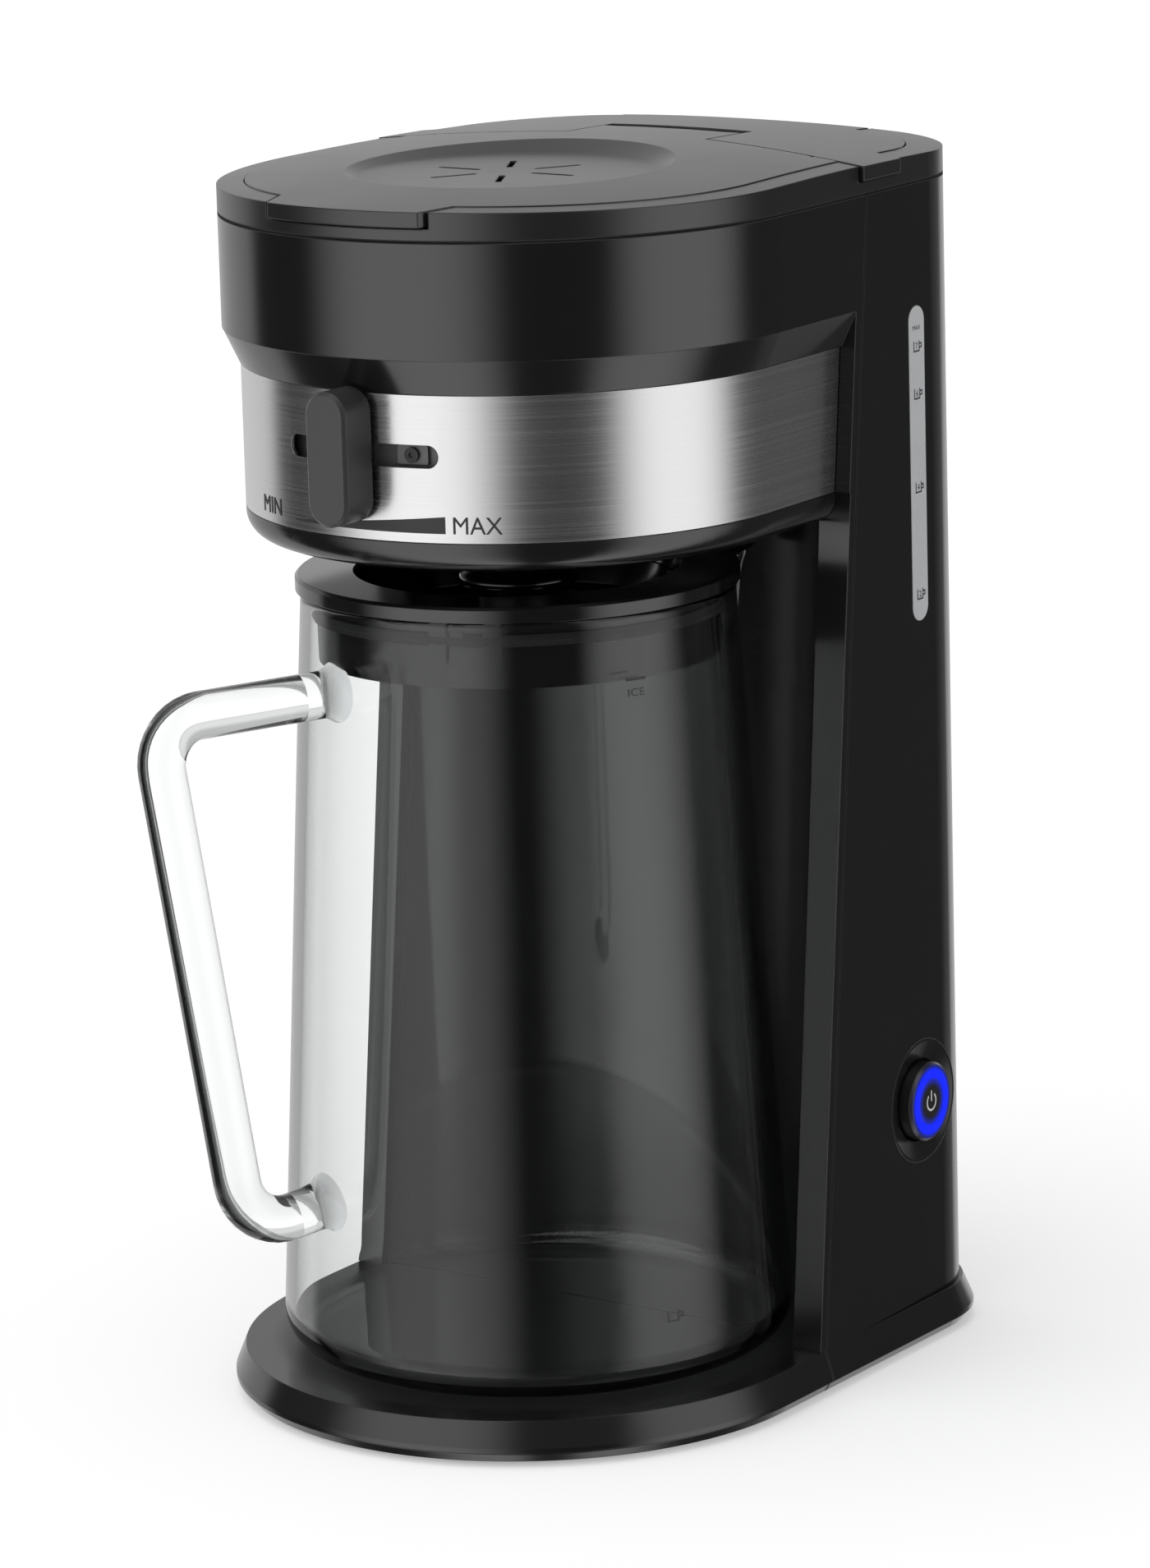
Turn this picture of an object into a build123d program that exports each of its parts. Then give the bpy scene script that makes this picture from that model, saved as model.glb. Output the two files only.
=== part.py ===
from build123d import *
import math
import os

os.makedirs("parts", exist_ok=True)

# Body outline in plan: round front, sides that draw in to the rear, rounded rear corners
body_radius = 77.0
body_centre_y = 5.5
body_rear_y = 111.0
rear_corner = 28.0
side_taper = 2.4
wall = 2.4
middle_pad_radius = 9.0

# Heights above the table
skirt_bottom = 3.7
skirt_full = 5.0
deck_top = 11.6
column_bottom = 11.7
lip_bottom = 227.0
band_bottom = 235.0
band_top = 272.0
chamfer_top = 281.0
rim_seam = 310.4
crown_top = 321.4

# Slanted seam between the front and rear housings
seam_foot_y = 21.4
seam_lean = 0.104
strip_depth = 3.0

# Steel band
band_radius = 72.5
band_thickness = 0.8
slot_height = 5.8
slot_centre_z = 256.5
slot_half_angle = 18.3

# Pitcher, standing on the deck with its axis on the origin
pitcher_bottom = deck_top + 0.05
glass_top = 212.5
glass_wall = 2.8
handle_angle = 19.5
handle_rod = 6.1

# Brew basket and outlet pipe
basket_seat = 305.2
pipe_x = -60.0
pipe_y = 62.0
pump_y = 95.5
pump_z = 40.0

# Selector
knob_width = 12.4
knob_height = 34.0
knob_reach = 12.4
knob_gap = 1.6

# Power button on the right side, centred this far along the side and this high
button_y = 73.6
button_z = 66.2
button_radius = 10.6
bezel_radius = 16.6

# Tank gauge on the right side
gauge_y = 76.3
gauge_bottom = 195.5
gauge_top = 278.3
gauge_width = 7.8

# Lids
rim_width = 7.0
lid_seam = 0.5
tongue_half = 21.8
front_hinge_y = 74.4
front_hinge_z = 315.7
front_knuckle = 5.0
rear_hinge_y = 107.2
rear_hinge_z = 316.2
rear_knuckle = 3.7
rear_hinge_half = 38.9
corner_relief = 0.9
hinge_pin = 1.2


def outline(z, grow=0.0, centre_y=body_centre_y, rear=body_rear_y, radius=body_radius,
            corner=rear_corner, taper=side_taper):
    half = radius + grow
    lean = math.radians(taper)
    shoulder = (half * math.cos(lean), centre_y + half * math.sin(lean))
    back = rear + grow
    round_off = corner + grow
    # Where the leaning side meets the corner arc
    corner_y = back - round_off
    corner_x = (shoulder[0] - (corner_y - shoulder[1]) * math.tan(lean)
                - round_off / math.cos(lean))
    side_end = (corner_x + round_off * math.cos(lean), corner_y + round_off * math.sin(lean))
    mid = math.radians(45 + taper / 2)
    corner_mid = (corner_x + round_off * math.cos(mid), corner_y + round_off * math.sin(mid))
    with BuildSketch(Plane.XY.offset(z)) as face:
        with BuildLine():
            Line(shoulder, side_end)
            ThreePointArc(side_end, corner_mid, (corner_x, back))
            Line((corner_x, back), (-corner_x, back))
            ThreePointArc((-corner_x, back), (-corner_mid[0], corner_mid[1]), (-side_end[0], side_end[1]))
            Line((-side_end[0], side_end[1]), (-shoulder[0], shoulder[1]))
            ThreePointArc((-shoulder[0], shoulder[1]), (0, centre_y - half), shoulder)
        make_face()
    return face.sketch


def base_outline(z, grow=0.0):
    return outline(z, grow, centre_y=-2.0, rear=111.4, radius=76.4, corner=28.4, taper=1.0)


def slab(face, height):
    return extrude(face, amount=height)


def side_prism(points, half_width=120, round_corner=0, round_radius=0):
    with BuildPart() as prism:
        with BuildSketch(Plane.YZ) as profile:
            Polygon(*points, align=None)
            if round_radius:
                spot = Vector(0, points[round_corner][0], points[round_corner][1])
                fillet(profile.vertices().sort_by_distance(spot)[0], radius=round_radius)
        extrude(amount=half_width, both=True)
    return prism.part


def seam_y(z):
    return seam_foot_y + seam_lean * (z - column_bottom)


def ahead_of_seam(shift):
    return side_prism([
        (-200, -10), (seam_y(-10) + shift, -10), (seam_y(400) + shift, 400), (-200, 400),
    ])


# Hollow of the column that wraps the pitcher and leans back as it rises
def recess_solid(grow, z0, z1):
    with BuildPart() as hollow:
        with BuildSketch(Plane.XY.offset(z0)):
            Circle(70.3 + grow)
        with BuildSketch(Plane.XY.offset(z1)):
            with Locations((0, 24)):
                Ellipse(69.5 + grow, 56 + grow)
        loft(ruled=True)
    return hollow.part


# Everything below the crowned surface that the rim and both lids share
def crown(drop):
    side_curve = 833.0
    long_curve = 1700.0
    with BuildPart() as body:
        with Locations((0, 35, crown_top - drop - long_curve)):
            Torus(long_curve - side_curve, side_curve, rotation=(0, 90, 0))
        with Locations((0, 20, 340)):
            Box(260, 260, 120, mode=Mode.INTERSECT)
    return body.part


# Place on the leaning right side: x runs to the rear, y runs up, z points outwards
def side_place(y, z, depth=0.0):
    lean = math.radians(side_taper)
    shoulder_x = body_radius * math.cos(lean)
    shoulder_y = body_centre_y + body_radius * math.sin(lean)
    at = (shoulder_x - (y - shoulder_y) * math.tan(lean), y, z)
    out = Vector(math.cos(lean), math.sin(lean), 0)
    return Plane(origin=Vector(*at) - out * depth, x_dir=(-math.sin(lean), math.cos(lean), 0), z_dir=out)


# Plane on the round of the head: x runs towards +X, y up, z outwards, at this angle from the front
def head_place(angle, radius, z):
    turn = math.radians(angle)
    out = Vector(math.sin(turn), -math.cos(turn), 0)
    along = Vector(math.cos(turn), math.sin(turn), 0)
    return Plane(origin=Vector(0, body_centre_y, z) + out * radius, x_dir=along, z_dir=out)


# Piece of a ring about the head's axis, inner radius, radial depth, middle height, height, half angle
def head_ring(radius, depth, z, height, half_angle):
    turn = math.radians(half_angle)
    out = Vector(-math.sin(turn), -math.cos(turn), 0)
    side = Vector(-math.cos(turn), math.sin(turn), 0)
    place = Plane(origin=(0, body_centre_y, z), x_dir=out, z_dir=side * -1)
    with BuildPart() as ring:
        with BuildSketch(place):
            with Locations((radius + depth / 2, 0)):
                Rectangle(depth, height)
        revolve(axis=Axis((0, body_centre_y, 0), (0, 0, 1)), revolution_arc=2 * half_angle)
    return ring.part


# Base: flat deck with a bevelled skirt, ribbed and hollow below
screw_spots = [(-48, -34), (48, -34), (-56, 84), (56, 84), (0, 94)]
with BuildPart() as base:
    add(slab(base_outline(skirt_bottom, 2.8), skirt_full - skirt_bottom))
    add(extrude(base_outline(skirt_full, 2.8), amount=deck_top - skirt_full, taper=23))
    add(slab(base_outline(skirt_bottom, 0.0), deck_top - skirt_bottom - 2.6), mode=Mode.SUBTRACT)
    with BuildSketch(Plane.XY.offset(deck_top - 2.4)):
        with Locations((0, -44), (0, -6), (0, 32), (0, 70)):
            Rectangle(190, 1.8)
        with Locations((-36, 14), (-12, 14), (12, 14), (36, 14)):
            Rectangle(1.8, 220)
        add(base_outline(0, 0.3), mode=Mode.INTERSECT)
    extrude(amount=-3.0)
    with BuildSketch(Plane.XY.offset(skirt_bottom + 0.1)):
        with Locations(*screw_spots):
            Circle(4.6)
            Circle(1.5, mode=Mode.SUBTRACT)
    extrude(amount=deck_top - 2.5 - skirt_bottom)
base.part.label = "base"
export_step(base.part, "parts/base.step")

# Bottom cover: thin tray that closes the base, with air slots and screw seats
with BuildPart() as bottom_cover:
    add(extrude(base_outline(skirt_bottom - 0.4, 1.8), amount=-(skirt_bottom - 0.4 - 1.0), taper=30))
    with BuildSketch(Plane.XY.offset(1.0)):
        with Locations((0, 45)):
            with GridLocations(9, 1, 7, 1):
                SlotOverall(26, 3.2, rotation=90)
        with Locations(*screw_spots):
            Circle(1.7)
    extrude(amount=6, mode=Mode.SUBTRACT)
    with BuildSketch(Plane.XY.offset(1.0)):
        with Locations(*screw_spots):
            Circle(3.6)
    extrude(amount=1.1, mode=Mode.SUBTRACT)
bottom_cover.part.label = "bottom_cover"
export_step(bottom_cover.part, "parts/bottom_cover.step")

# Rubber feet: two arc pads under the round front, two straight pads under the sides, and a round
# pad in the middle that carries the full pitcher
with BuildPart() as rubber_feet:
    with BuildSketch():
        for middle in (-128, -52):
            with BuildSketch(mode=Mode.PRIVATE) as pad:
                add(SlotArc(CenterArc((0, -2), 68.5, middle - 15, 30), 7))
            add(pad.sketch)
        with Locations((-68.5, 58), (68.5, 58)):
            SlotOverall(36, 7, rotation=90)
        Circle(middle_pad_radius)
    extrude(amount=1.0)
rubber_feet.part.label = "rubber_feet"
export_step(rubber_feet.part, "parts/rubber_feet.step")

# Base screws: pan heads sunk in the cover, shanks in the base bosses
with BuildPart() as base_screws:
    with BuildSketch(Plane.XY.offset(1.1)):
        with Locations(*screw_spots):
            Circle(3.2)
    extrude(amount=1.0)
    with BuildSketch(Plane.XY.offset(2.1)):
        with Locations(*screw_spots):
            Circle(1.45)
    extrude(amount=5.6)
    with BuildSketch(Plane.XY.offset(1.1)):
        with Locations(*screw_spots):
            Rectangle(3.6, 0.8)
            Rectangle(0.8, 3.6)
    extrude(amount=0.6, mode=Mode.SUBTRACT)
base_screws.part.label = "base_screws"
export_step(base_screws.part, "parts/base_screws.step")

# Front housing: head shell, chamfered inset for the steel band, concave column front with two strips
core_grow = band_radius - band_thickness - 0.1 - body_radius
inset_rear = 3.4
with BuildPart() as front_housing:
    add(slab(outline(column_bottom), rim_seam - 0.2 - column_bottom))
    with BuildPart(mode=Mode.PRIVATE) as inset:
        add(slab(outline(200, 20), chamfer_top - 200))
        add(slab(outline(200, core_grow), band_top - 200), mode=Mode.SUBTRACT)
        chamfer_foot = outline(band_top, band_radius + 0.3 - body_radius)
        add(extrude(chamfer_foot, amount=chamfer_top - band_top, taper=-24.5), mode=Mode.SUBTRACT)
        corner = (seam_y(chamfer_top) - inset_rear, chamfer_top)
        add(side_prism([(-200, 190), (seam_y(190) - inset_rear, 190), corner, (-200, chamfer_top)],
                       round_corner=2, round_radius=19), mode=Mode.INTERSECT)
    add(inset.part, mode=Mode.SUBTRACT)
    # Room in the head for the brew chamber, and in the column for the works
    add(slab(outline(chamfer_top + 1.5, -wall), 60), mode=Mode.SUBTRACT)
    add(slab(outline(lip_bottom - 5, core_grow - wall), 90), mode=Mode.SUBTRACT)
    add(slab(outline(column_bottom - 1, -wall), lip_bottom - column_bottom + 3), mode=Mode.SUBTRACT)
    # Plate behind the forward strips of the column
    with BuildPart(mode=Mode.PRIVATE) as plate:
        add(slab(outline(column_bottom), lip_bottom + 2 - column_bottom))
        add(ahead_of_seam(-0.15), mode=Mode.INTERSECT)
        add(ahead_of_seam(-strip_depth), mode=Mode.SUBTRACT)
    add(plate.part)
    with BuildPart(mode=Mode.PRIVATE) as below_head:
        add(ahead_of_seam(-strip_depth))
        add(side_prism([(-200, band_bottom - 0.1), (200, band_bottom - 0.1), (200, 500), (-200, 500)]),
            mode=Mode.SUBTRACT)
    add(below_head.part, mode=Mode.SUBTRACT)
    add(ahead_of_seam(-0.15), mode=Mode.INTERSECT)
    # Curved wall behind the pitcher
    with BuildPart(mode=Mode.PRIVATE) as recess_wall:
        add(recess_solid(wall, column_bottom, lip_bottom))
        add(ahead_of_seam(-strip_depth), mode=Mode.SUBTRACT)
    add(recess_wall.part)
    add(recess_solid(0, column_bottom - 0.01, lip_bottom + 2.01), mode=Mode.SUBTRACT)
    # Window behind the selector slot, with a rail above and below for the carriage
    add(head_ring(66.4, 3.0, slot_centre_z - 8.3, 1.6, 52))
    add(head_ring(66.4, 3.0, slot_centre_z + 8.3, 1.6, 52))
    add(head_ring(68, 8, slot_centre_z, 11.6, 33), mode=Mode.SUBTRACT)
front_housing.part.label = "front_housing"
export_step(front_housing.part, "parts/front_housing.step")

# Rear housing: column sides and back, open at the top for the tank
gauge_middle = (gauge_bottom + gauge_top) / 2
back_screws = [(30, 27), (-30, 172), (30, 172)]
with BuildPart() as rear_housing:
    add(slab(outline(column_bottom), rim_seam - 0.2 - column_bottom))
    add(ahead_of_seam(0.15), mode=Mode.SUBTRACT)
    add(slab(outline(column_bottom - 1, -wall), 400), mode=Mode.SUBTRACT)
    with BuildSketch(side_place(gauge_y, gauge_middle, 6)):
        SlotOverall(gauge_top - gauge_bottom + 0.1, gauge_width + 0.1, rotation=90)
    extrude(amount=10, mode=Mode.SUBTRACT)
    with BuildSketch(side_place(button_y, button_z, 6)):
        Circle(bezel_radius - 1.5)
    extrude(amount=10, mode=Mode.SUBTRACT)
    with BuildSketch(side_place(button_y, button_z, 1.2)):
        Circle(bezel_radius + 0.05)
    extrude(amount=4, mode=Mode.SUBTRACT)
    # Cooling slots low on the back, and the cord gland hole
    with BuildSketch(Plane.XZ.offset(-(body_rear_y + 2))):
        with Locations((0, 78)):
            with GridLocations(1, 6, 1, 7):
                SlotOverall(44, 2.4)
        with Locations((-30, 27)):
            Circle(6.05)
        with Locations(*back_screws):
            Circle(1.55)
    extrude(amount=8, mode=Mode.SUBTRACT)
    # Corner ribs that stiffen the back
    with BuildSketch(Plane.XY.offset(20)):
        with Locations((-40, body_rear_y - wall - 0.9), (40, body_rear_y - wall - 0.9)):
            Rectangle(1.8, 2.2)
    extrude(amount=150)
rear_housing.part.label = "rear_housing"
export_step(rear_housing.part, "parts/rear_housing.step")

# Steel band: thin strip round the head with rounded rear corners and the selector slot
with BuildPart() as steel_band:
    add(slab(outline(band_bottom, band_radius - body_radius), band_top - band_bottom - 0.2))
    add(slab(outline(band_bottom - 1, band_radius - band_thickness - body_radius), 60), mode=Mode.SUBTRACT)
    corner = (seam_y(band_top) - inset_rear - 0.4, band_top - 0.2)
    add(side_prism([(-200, 190), (seam_y(190) - inset_rear - 0.4, 190), corner, (-200, band_top - 0.2)],
                   round_corner=2, round_radius=12), mode=Mode.INTERSECT)
    slot_end = slot_half_angle - math.degrees(slot_height / 2 / band_radius)
    add(head_ring(band_radius - 3, 6, slot_centre_z, slot_height, slot_end), mode=Mode.SUBTRACT)
    for end_angle in (-slot_end, slot_end):
        with BuildSketch(head_place(end_angle, band_radius - 3, slot_centre_z)):
            Circle(slot_height / 2)
        extrude(amount=6, mode=Mode.SUBTRACT)
steel_band.part.label = "steel_band"
export_step(steel_band.part, "parts/steel_band.step")

# Head underside: rounded lip below the band and the floor that carries the brew basket
with BuildPart() as head_underside:
    add(slab(outline(lip_bottom, band_radius - body_radius), band_bottom - 0.2 - lip_bottom))
    fillet(head_underside.faces().sort_by(Axis.Z)[0].edges(), radius=6.5)
    add(ahead_of_seam(-strip_depth - 0.2), mode=Mode.INTERSECT)
    add(slab(outline(lip_bottom + 2.4, band_radius - body_radius - 7.5), 30), mode=Mode.SUBTRACT)
    # Floor over the column
    with BuildPart(mode=Mode.PRIVATE) as floor:
        add(slab(outline(lip_bottom + 2.15, -8.1), 1.9))
        add(side_prism([(20, 220), (87, 220), (87, 240), (20, 240)]), mode=Mode.INTERSECT)
    add(floor.part)
    with BuildSketch(Plane.XY.offset(lip_bottom - 1)):
        Circle(17)
    extrude(amount=20, mode=Mode.SUBTRACT)
    # Hole for the outlet pipe
    with BuildSketch(Plane.XY.offset(lip_bottom - 1)):
        with Locations((pipe_x, pipe_y)):
            Circle(4.2)
    extrude(amount=20, mode=Mode.SUBTRACT)
head_underside.part.label = "head_underside"
export_step(head_underside.part, "parts/head_underside.step")

# Brew chamber: round well that the basket hangs in
with BuildPart() as brew_chamber:
    with BuildSketch(Plane.XZ):
        Polygon(
            (13, lip_bottom + 4.2), (59.4, lip_bottom + 4.2), (59.4, basket_seat), (57.6, basket_seat),
            (57.6, lip_bottom + 6.0), (13, lip_bottom + 6.0), align=None,
        )
    revolve(axis=Axis.Z)
brew_chamber.part.label = "brew_chamber"
export_step(brew_chamber.part, "parts/brew_chamber.step")

# Top rim: crowned ring with a ledge for the lids, tab notches, cross bar and hinge posts
opening_corner = rear_corner


def opening(z, grow=0.0):
    return outline(z, grow - rim_width, corner=opening_corner + rim_width)


with BuildPart() as top_rim:
    add(slab(outline(rim_seam), 20))
    add(crown(0.2), mode=Mode.INTERSECT)
    add(slab(opening(rim_seam - 1), 40), mode=Mode.SUBTRACT)
    with BuildPart(mode=Mode.PRIVATE) as ledge:
        add(slab(opening(rim_seam, 0.5), 2.2))
        add(slab(opening(rim_seam - 1, -4.5), 10), mode=Mode.SUBTRACT)
    add(ledge.part)
    # Notches that the lid tabs lie in
    with BuildSketch(Plane.XY.offset(313.6)):
        with Locations((0, -69.25)):
            Trapezoid(55.4, 21.5, 72, rotation=180)
        with BuildSketch(mode=Mode.PRIVATE) as side_notch:
            Polygon((62, 50.9), (86, 46.4), (86, 65.1), (79, 67.1), (66, 70.9), (62, 70.9), align=None)
            mirror(about=Plane.YZ)
        add(side_notch.sketch)
    extrude(amount=20, mode=Mode.SUBTRACT)
    # Gap in the rear wall that the rear lid's hinge barrel turns in
    with BuildSketch(Plane.XY.offset(rear_hinge_z - rear_knuckle - 0.4)):
        with Locations((0, rear_hinge_y)):
            Rectangle(2 * rear_hinge_half + 0.8, 12)
    extrude(amount=12, mode=Mode.SUBTRACT)
    # Cross bar between the brew chamber and the tank, with arms out to the front hinge
    with BuildSketch(Plane.XY.offset(rim_seam + 0.6)):
        with Locations((0, 64.9)):
            Rectangle(132, 2.6)
        with Locations((-25, 71.5), (25, 71.5)):
            Rectangle(3.2, 15)
    extrude(amount=1.6)
    with BuildSketch(Plane.YZ.offset(25)):
        with Locations((front_hinge_y, front_hinge_z)):
            Circle(2.5)
        with Locations((front_hinge_y, front_hinge_z - 2.35)):
            Rectangle(5, 4.7)
    post = extrude(amount=1.6, both=True)
    mirror(post, about=Plane.YZ)
    with BuildSketch(Plane.YZ.offset(-43)):
        with Locations((front_hinge_y, front_hinge_z), (rear_hinge_y, rear_hinge_z)):
            Circle(hinge_pin)
    extrude(amount=86, mode=Mode.SUBTRACT)
top_rim.part.label = "top_rim"
export_step(top_rim.part, "parts/top_rim.step")

# Hinge pins
for pin_name, pin_y, pin_z, pin_half in (
    ("front_hinge_pin", front_hinge_y, front_hinge_z, 26.6),
    ("rear_hinge_pin", rear_hinge_y, rear_hinge_z, 43.0),
):
    with BuildPart() as pin:
        with BuildSketch(Plane.YZ):
            with Locations((pin_y, pin_z)):
                Circle(hinge_pin)
        extrude(amount=pin_half, both=True)
    pin.part.label = pin_name
    export_step(pin.part, "parts/" + pin_name + ".step")


# Plan of the front lid: round front, stepped rear edge with a tongue
def front_lid_plan(z, grow=0.0):
    with BuildSketch(Plane.XY.offset(z)) as face:
        add(opening(z, grow - 0.3))
        with BuildSketch(Plane.XY.offset(z), mode=Mode.INTERSECT):
            Polygon(
                (-90, -90), (90, -90), (90, 45.7 + grow), (23.2 + grow, 58.15 + grow),
                (tongue_half + grow, 58.4 + grow), (tongue_half + grow, front_hinge_y + grow),
                (-tongue_half - grow, front_hinge_y + grow), (-tongue_half - grow, 58.4 + grow),
                (-23.2 - grow, 58.15 + grow), (-90, 45.7 + grow), align=None,
            )
    return face.sketch


# Front lid: crowned plate with a shallow round dish, six slits, finger tab and hinge tongue
with BuildPart() as front_lid:
    add(slab(front_lid_plan(312.9), 14))
    with BuildSketch(Plane.XY.offset(314.0)):
        with Locations((0, -68.2)):
            Trapezoid(53.0, 18.6, 72, rotation=180)
        add(outline(314.0, 1.2), mode=Mode.INTERSECT)
    extrude(amount=12.9)
    with BuildSketch(Plane.YZ):
        with Locations((front_hinge_y, front_hinge_z)):
            Circle(front_knuckle)
    extrude(amount=tongue_half, both=True)
    # Hollow underneath
    with BuildPart(mode=Mode.PRIVATE) as under:
        with BuildSketch(Plane.XY.offset(312.5)):
            add(front_lid_plan(312.5, -2.2))
            Circle(48.5, mode=Mode.SUBTRACT)
            with Locations((0, front_hinge_y)):
                Rectangle(60, 14, mode=Mode.SUBTRACT)
        extrude(amount=14)
        add(crown(2.4), mode=Mode.INTERSECT)
    add(under.part, mode=Mode.SUBTRACT)
    # Rear edge undercut, so that it swings past the rear lid
    with BuildSketch(Plane.XY.offset(300)):
        Polygon(
            (tongue_half, 57.1), (23.2, 57.1), (60, 50.2), (60, 55), (23.2, 60), (tongue_half, 60),
            align=None,
        )
        mirror(about=Plane.YZ)
    extrude(amount=19.2, mode=Mode.SUBTRACT)
    # Dish, with a flat floor of even thickness
    with BuildSketch(Plane.XZ):
        Polygon((0, 318.5), (37.8, 318.5), (64, 328.65), (0, 328.65), align=None)
    revolve(axis=Axis.Z, mode=Mode.SUBTRACT)
    with BuildSketch(Plane.XY.offset(300)):
        Circle(46)
    extrude(amount=16.2, mode=Mode.SUBTRACT)
    with BuildSketch(Plane.XY.offset(310)):
        with PolarLocations(14.5, 6):
            SlotOverall(12.8, 1.7)
    extrude(amount=20, mode=Mode.SUBTRACT)
    with BuildSketch(Plane.YZ.offset(-40)):
        with Locations((front_hinge_y, front_hinge_z)):
            Circle(hinge_pin + 0.05)
    extrude(amount=80, mode=Mode.SUBTRACT)
    add(crown(0), mode=Mode.INTERSECT)
front_lid.part.label = "front_lid"
export_step(front_lid.part, "parts/front_lid.step")

# Shower plate: perforated disc hung under the front lid
with BuildPart() as shower_plate:
    with BuildSketch(Plane.XY.offset(309.5)):
        Circle(43)
        with PolarLocations(12, 8):
            Circle(1.4, mode=Mode.SUBTRACT)
        with PolarLocations(23, 14):
            Circle(1.4, mode=Mode.SUBTRACT)
        with PolarLocations(34, 20):
            Circle(1.4, mode=Mode.SUBTRACT)
    extrude(amount=1.8)
    with BuildSketch(Plane.XY.offset(311.3)):
        Circle(43)
        Circle(41.4, mode=Mode.SUBTRACT)
        with PolarLocations(28, 3):
            Circle(2.2)
    extrude(amount=4.9)
shower_plate.part.label = "shower_plate"
export_step(shower_plate.part, "parts/shower_plate.step")


# Plan of the rear lid: fills the opening behind the front lid
def rear_lid_plan(z, grow=0.0):
    cut = lid_seam - grow
    with BuildSketch(Plane.XY.offset(z)) as face:
        add(opening(z, grow - 0.4))
        with BuildSketch(Plane.XY.offset(z), mode=Mode.SUBTRACT):
            Polygon(
                (-90, -90), (90, -90), (90, 45.7 + cut), (23.2 + cut, 58.15 + cut),
                (tongue_half + cut, 58.4 + cut), (tongue_half + cut, front_hinge_y + front_knuckle + cut),
                (-tongue_half - cut, front_hinge_y + front_knuckle + cut), (-tongue_half - cut, 58.4 + cut),
                (-23.2 - cut, 58.15 + cut), (-90, 45.7 + cut), align=None,
            )
    return face.sketch


# Rear lid: crowned plate over the tank with a finger tab on each side
with BuildPart() as rear_lid:
    add(slab(rear_lid_plan(313.5), 14))
    with BuildSketch(Plane.XY.offset(314.0)):
        with BuildLine():
            Polyline((60, 51.8), (79, 48.25), (79, 66.5), (67.6, 69.8), (60, 69.8), (60, 51.8))
        make_face()
        mirror(about=Plane.YZ)
        add(outline(314.0, 1.4), mode=Mode.INTERSECT)
    extrude(amount=13.5)
    # Hollow underneath, open to the front round the front lid's hinge posts
    with BuildPart(mode=Mode.PRIVATE) as under:
        with BuildSketch(Plane.XY.offset(300)):
            add(rear_lid_plan(300, -2.2))
        extrude(amount=40)
        add(crown(2.4), mode=Mode.INTERSECT)
    add(under.part, mode=Mode.SUBTRACT)
    with BuildSketch(Plane.XY.offset(300)):
        with Locations((-25, 70), (25, 70)):
            Rectangle(8, 24)
    extrude(amount=18.5, mode=Mode.SUBTRACT)
    # Rear corners hollowed below their top edge, so they swing up past the rim
    with BuildPart(mode=Mode.PRIVATE) as relief:
        with BuildSketch(Plane.XY.offset(310)):
            with Locations((0, 86)):
                Rectangle(160, 40, align=(Align.CENTER, Align.MIN))
            add(opening(310, -corner_relief - 0.4), mode=Mode.SUBTRACT)
        extrude(amount=7.9)
        with BuildSketch(Plane.YZ):
            with Locations((rear_hinge_y, rear_hinge_z)):
                Circle(4.3)
        extrude(amount=80, both=True)
    add(relief.part, mode=Mode.SUBTRACT)
    # Hinge barrel across the rear, with the web that joins it to the plate
    with BuildSketch(Plane.YZ):
        with Locations((rear_hinge_y, rear_hinge_z)):
            Circle(rear_knuckle)
        Polygon((100, 313.5), (rear_hinge_y, rear_hinge_z - rear_knuckle), (rear_hinge_y, 322), (100, 322),
                align=None)
    extrude(amount=rear_hinge_half, both=True)
    with BuildSketch(Plane.YZ.offset(-50)):
        with Locations((rear_hinge_y, rear_hinge_z)):
            Circle(hinge_pin + 0.05)
    extrude(amount=100, mode=Mode.SUBTRACT)
    add(crown(0), mode=Mode.INTERSECT)
rear_lid.part.label = "rear_lid"
export_step(rear_lid.part, "parts/rear_lid.step")

# Selector knob: upright pill on a stem that passes through the slot
with BuildPart() as selector_knob:
    with BuildSketch(head_place(0, band_radius + knob_gap, slot_centre_z)):
        SlotOverall(knob_height, knob_width, rotation=90)
    extrude(amount=knob_reach - knob_gap)
    chamfer(selector_knob.faces().sort_by(Axis.Y)[0].edges(), length=0.9)
    with BuildSketch(head_place(0, 68.75, slot_centre_z)):
        RectangleRounded(6.0, 5.2, 0.8)
    extrude(amount=6)
selector_knob.part.label = "selector_knob"
export_step(selector_knob.part, "parts/selector_knob.step")

# Selector carriage: curved strip behind the slot, with a raised pad for its screw
screw_angle = 12.0
with BuildPart() as selector_carriage:
    add(head_ring(66.4, 2.3, slot_centre_z, 14.2, 36))
    with BuildSketch(head_place(screw_angle, 68.3, slot_centre_z)):
        RectangleRounded(8.4, 5.0, 0.6)
    extrude(amount=1.5)
    with BuildSketch(head_place(screw_angle, 65.5, slot_centre_z)):
        Circle(1.05)
    extrude(amount=6, mode=Mode.SUBTRACT)
selector_carriage.part.label = "selector_carriage"
export_step(selector_carriage.part, "parts/selector_carriage.step")

# Selector screw: small pan head on the pad
with BuildPart() as selector_screw:
    with BuildSketch(head_place(screw_angle, 66.6, slot_centre_z)):
        Circle(1.0)
    extrude(amount=3.3)
    with BuildSketch(head_place(screw_angle, 69.85, slot_centre_z)):
        Circle(1.9)
    extrude(amount=0.9)
    with BuildSketch(head_place(screw_angle, 70.75, slot_centre_z)):
        Circle(0.7)
    extrude(amount=-0.5, mode=Mode.SUBTRACT)
selector_screw.part.label = "selector_screw"
export_step(selector_screw.part, "parts/selector_screw.step")

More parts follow.
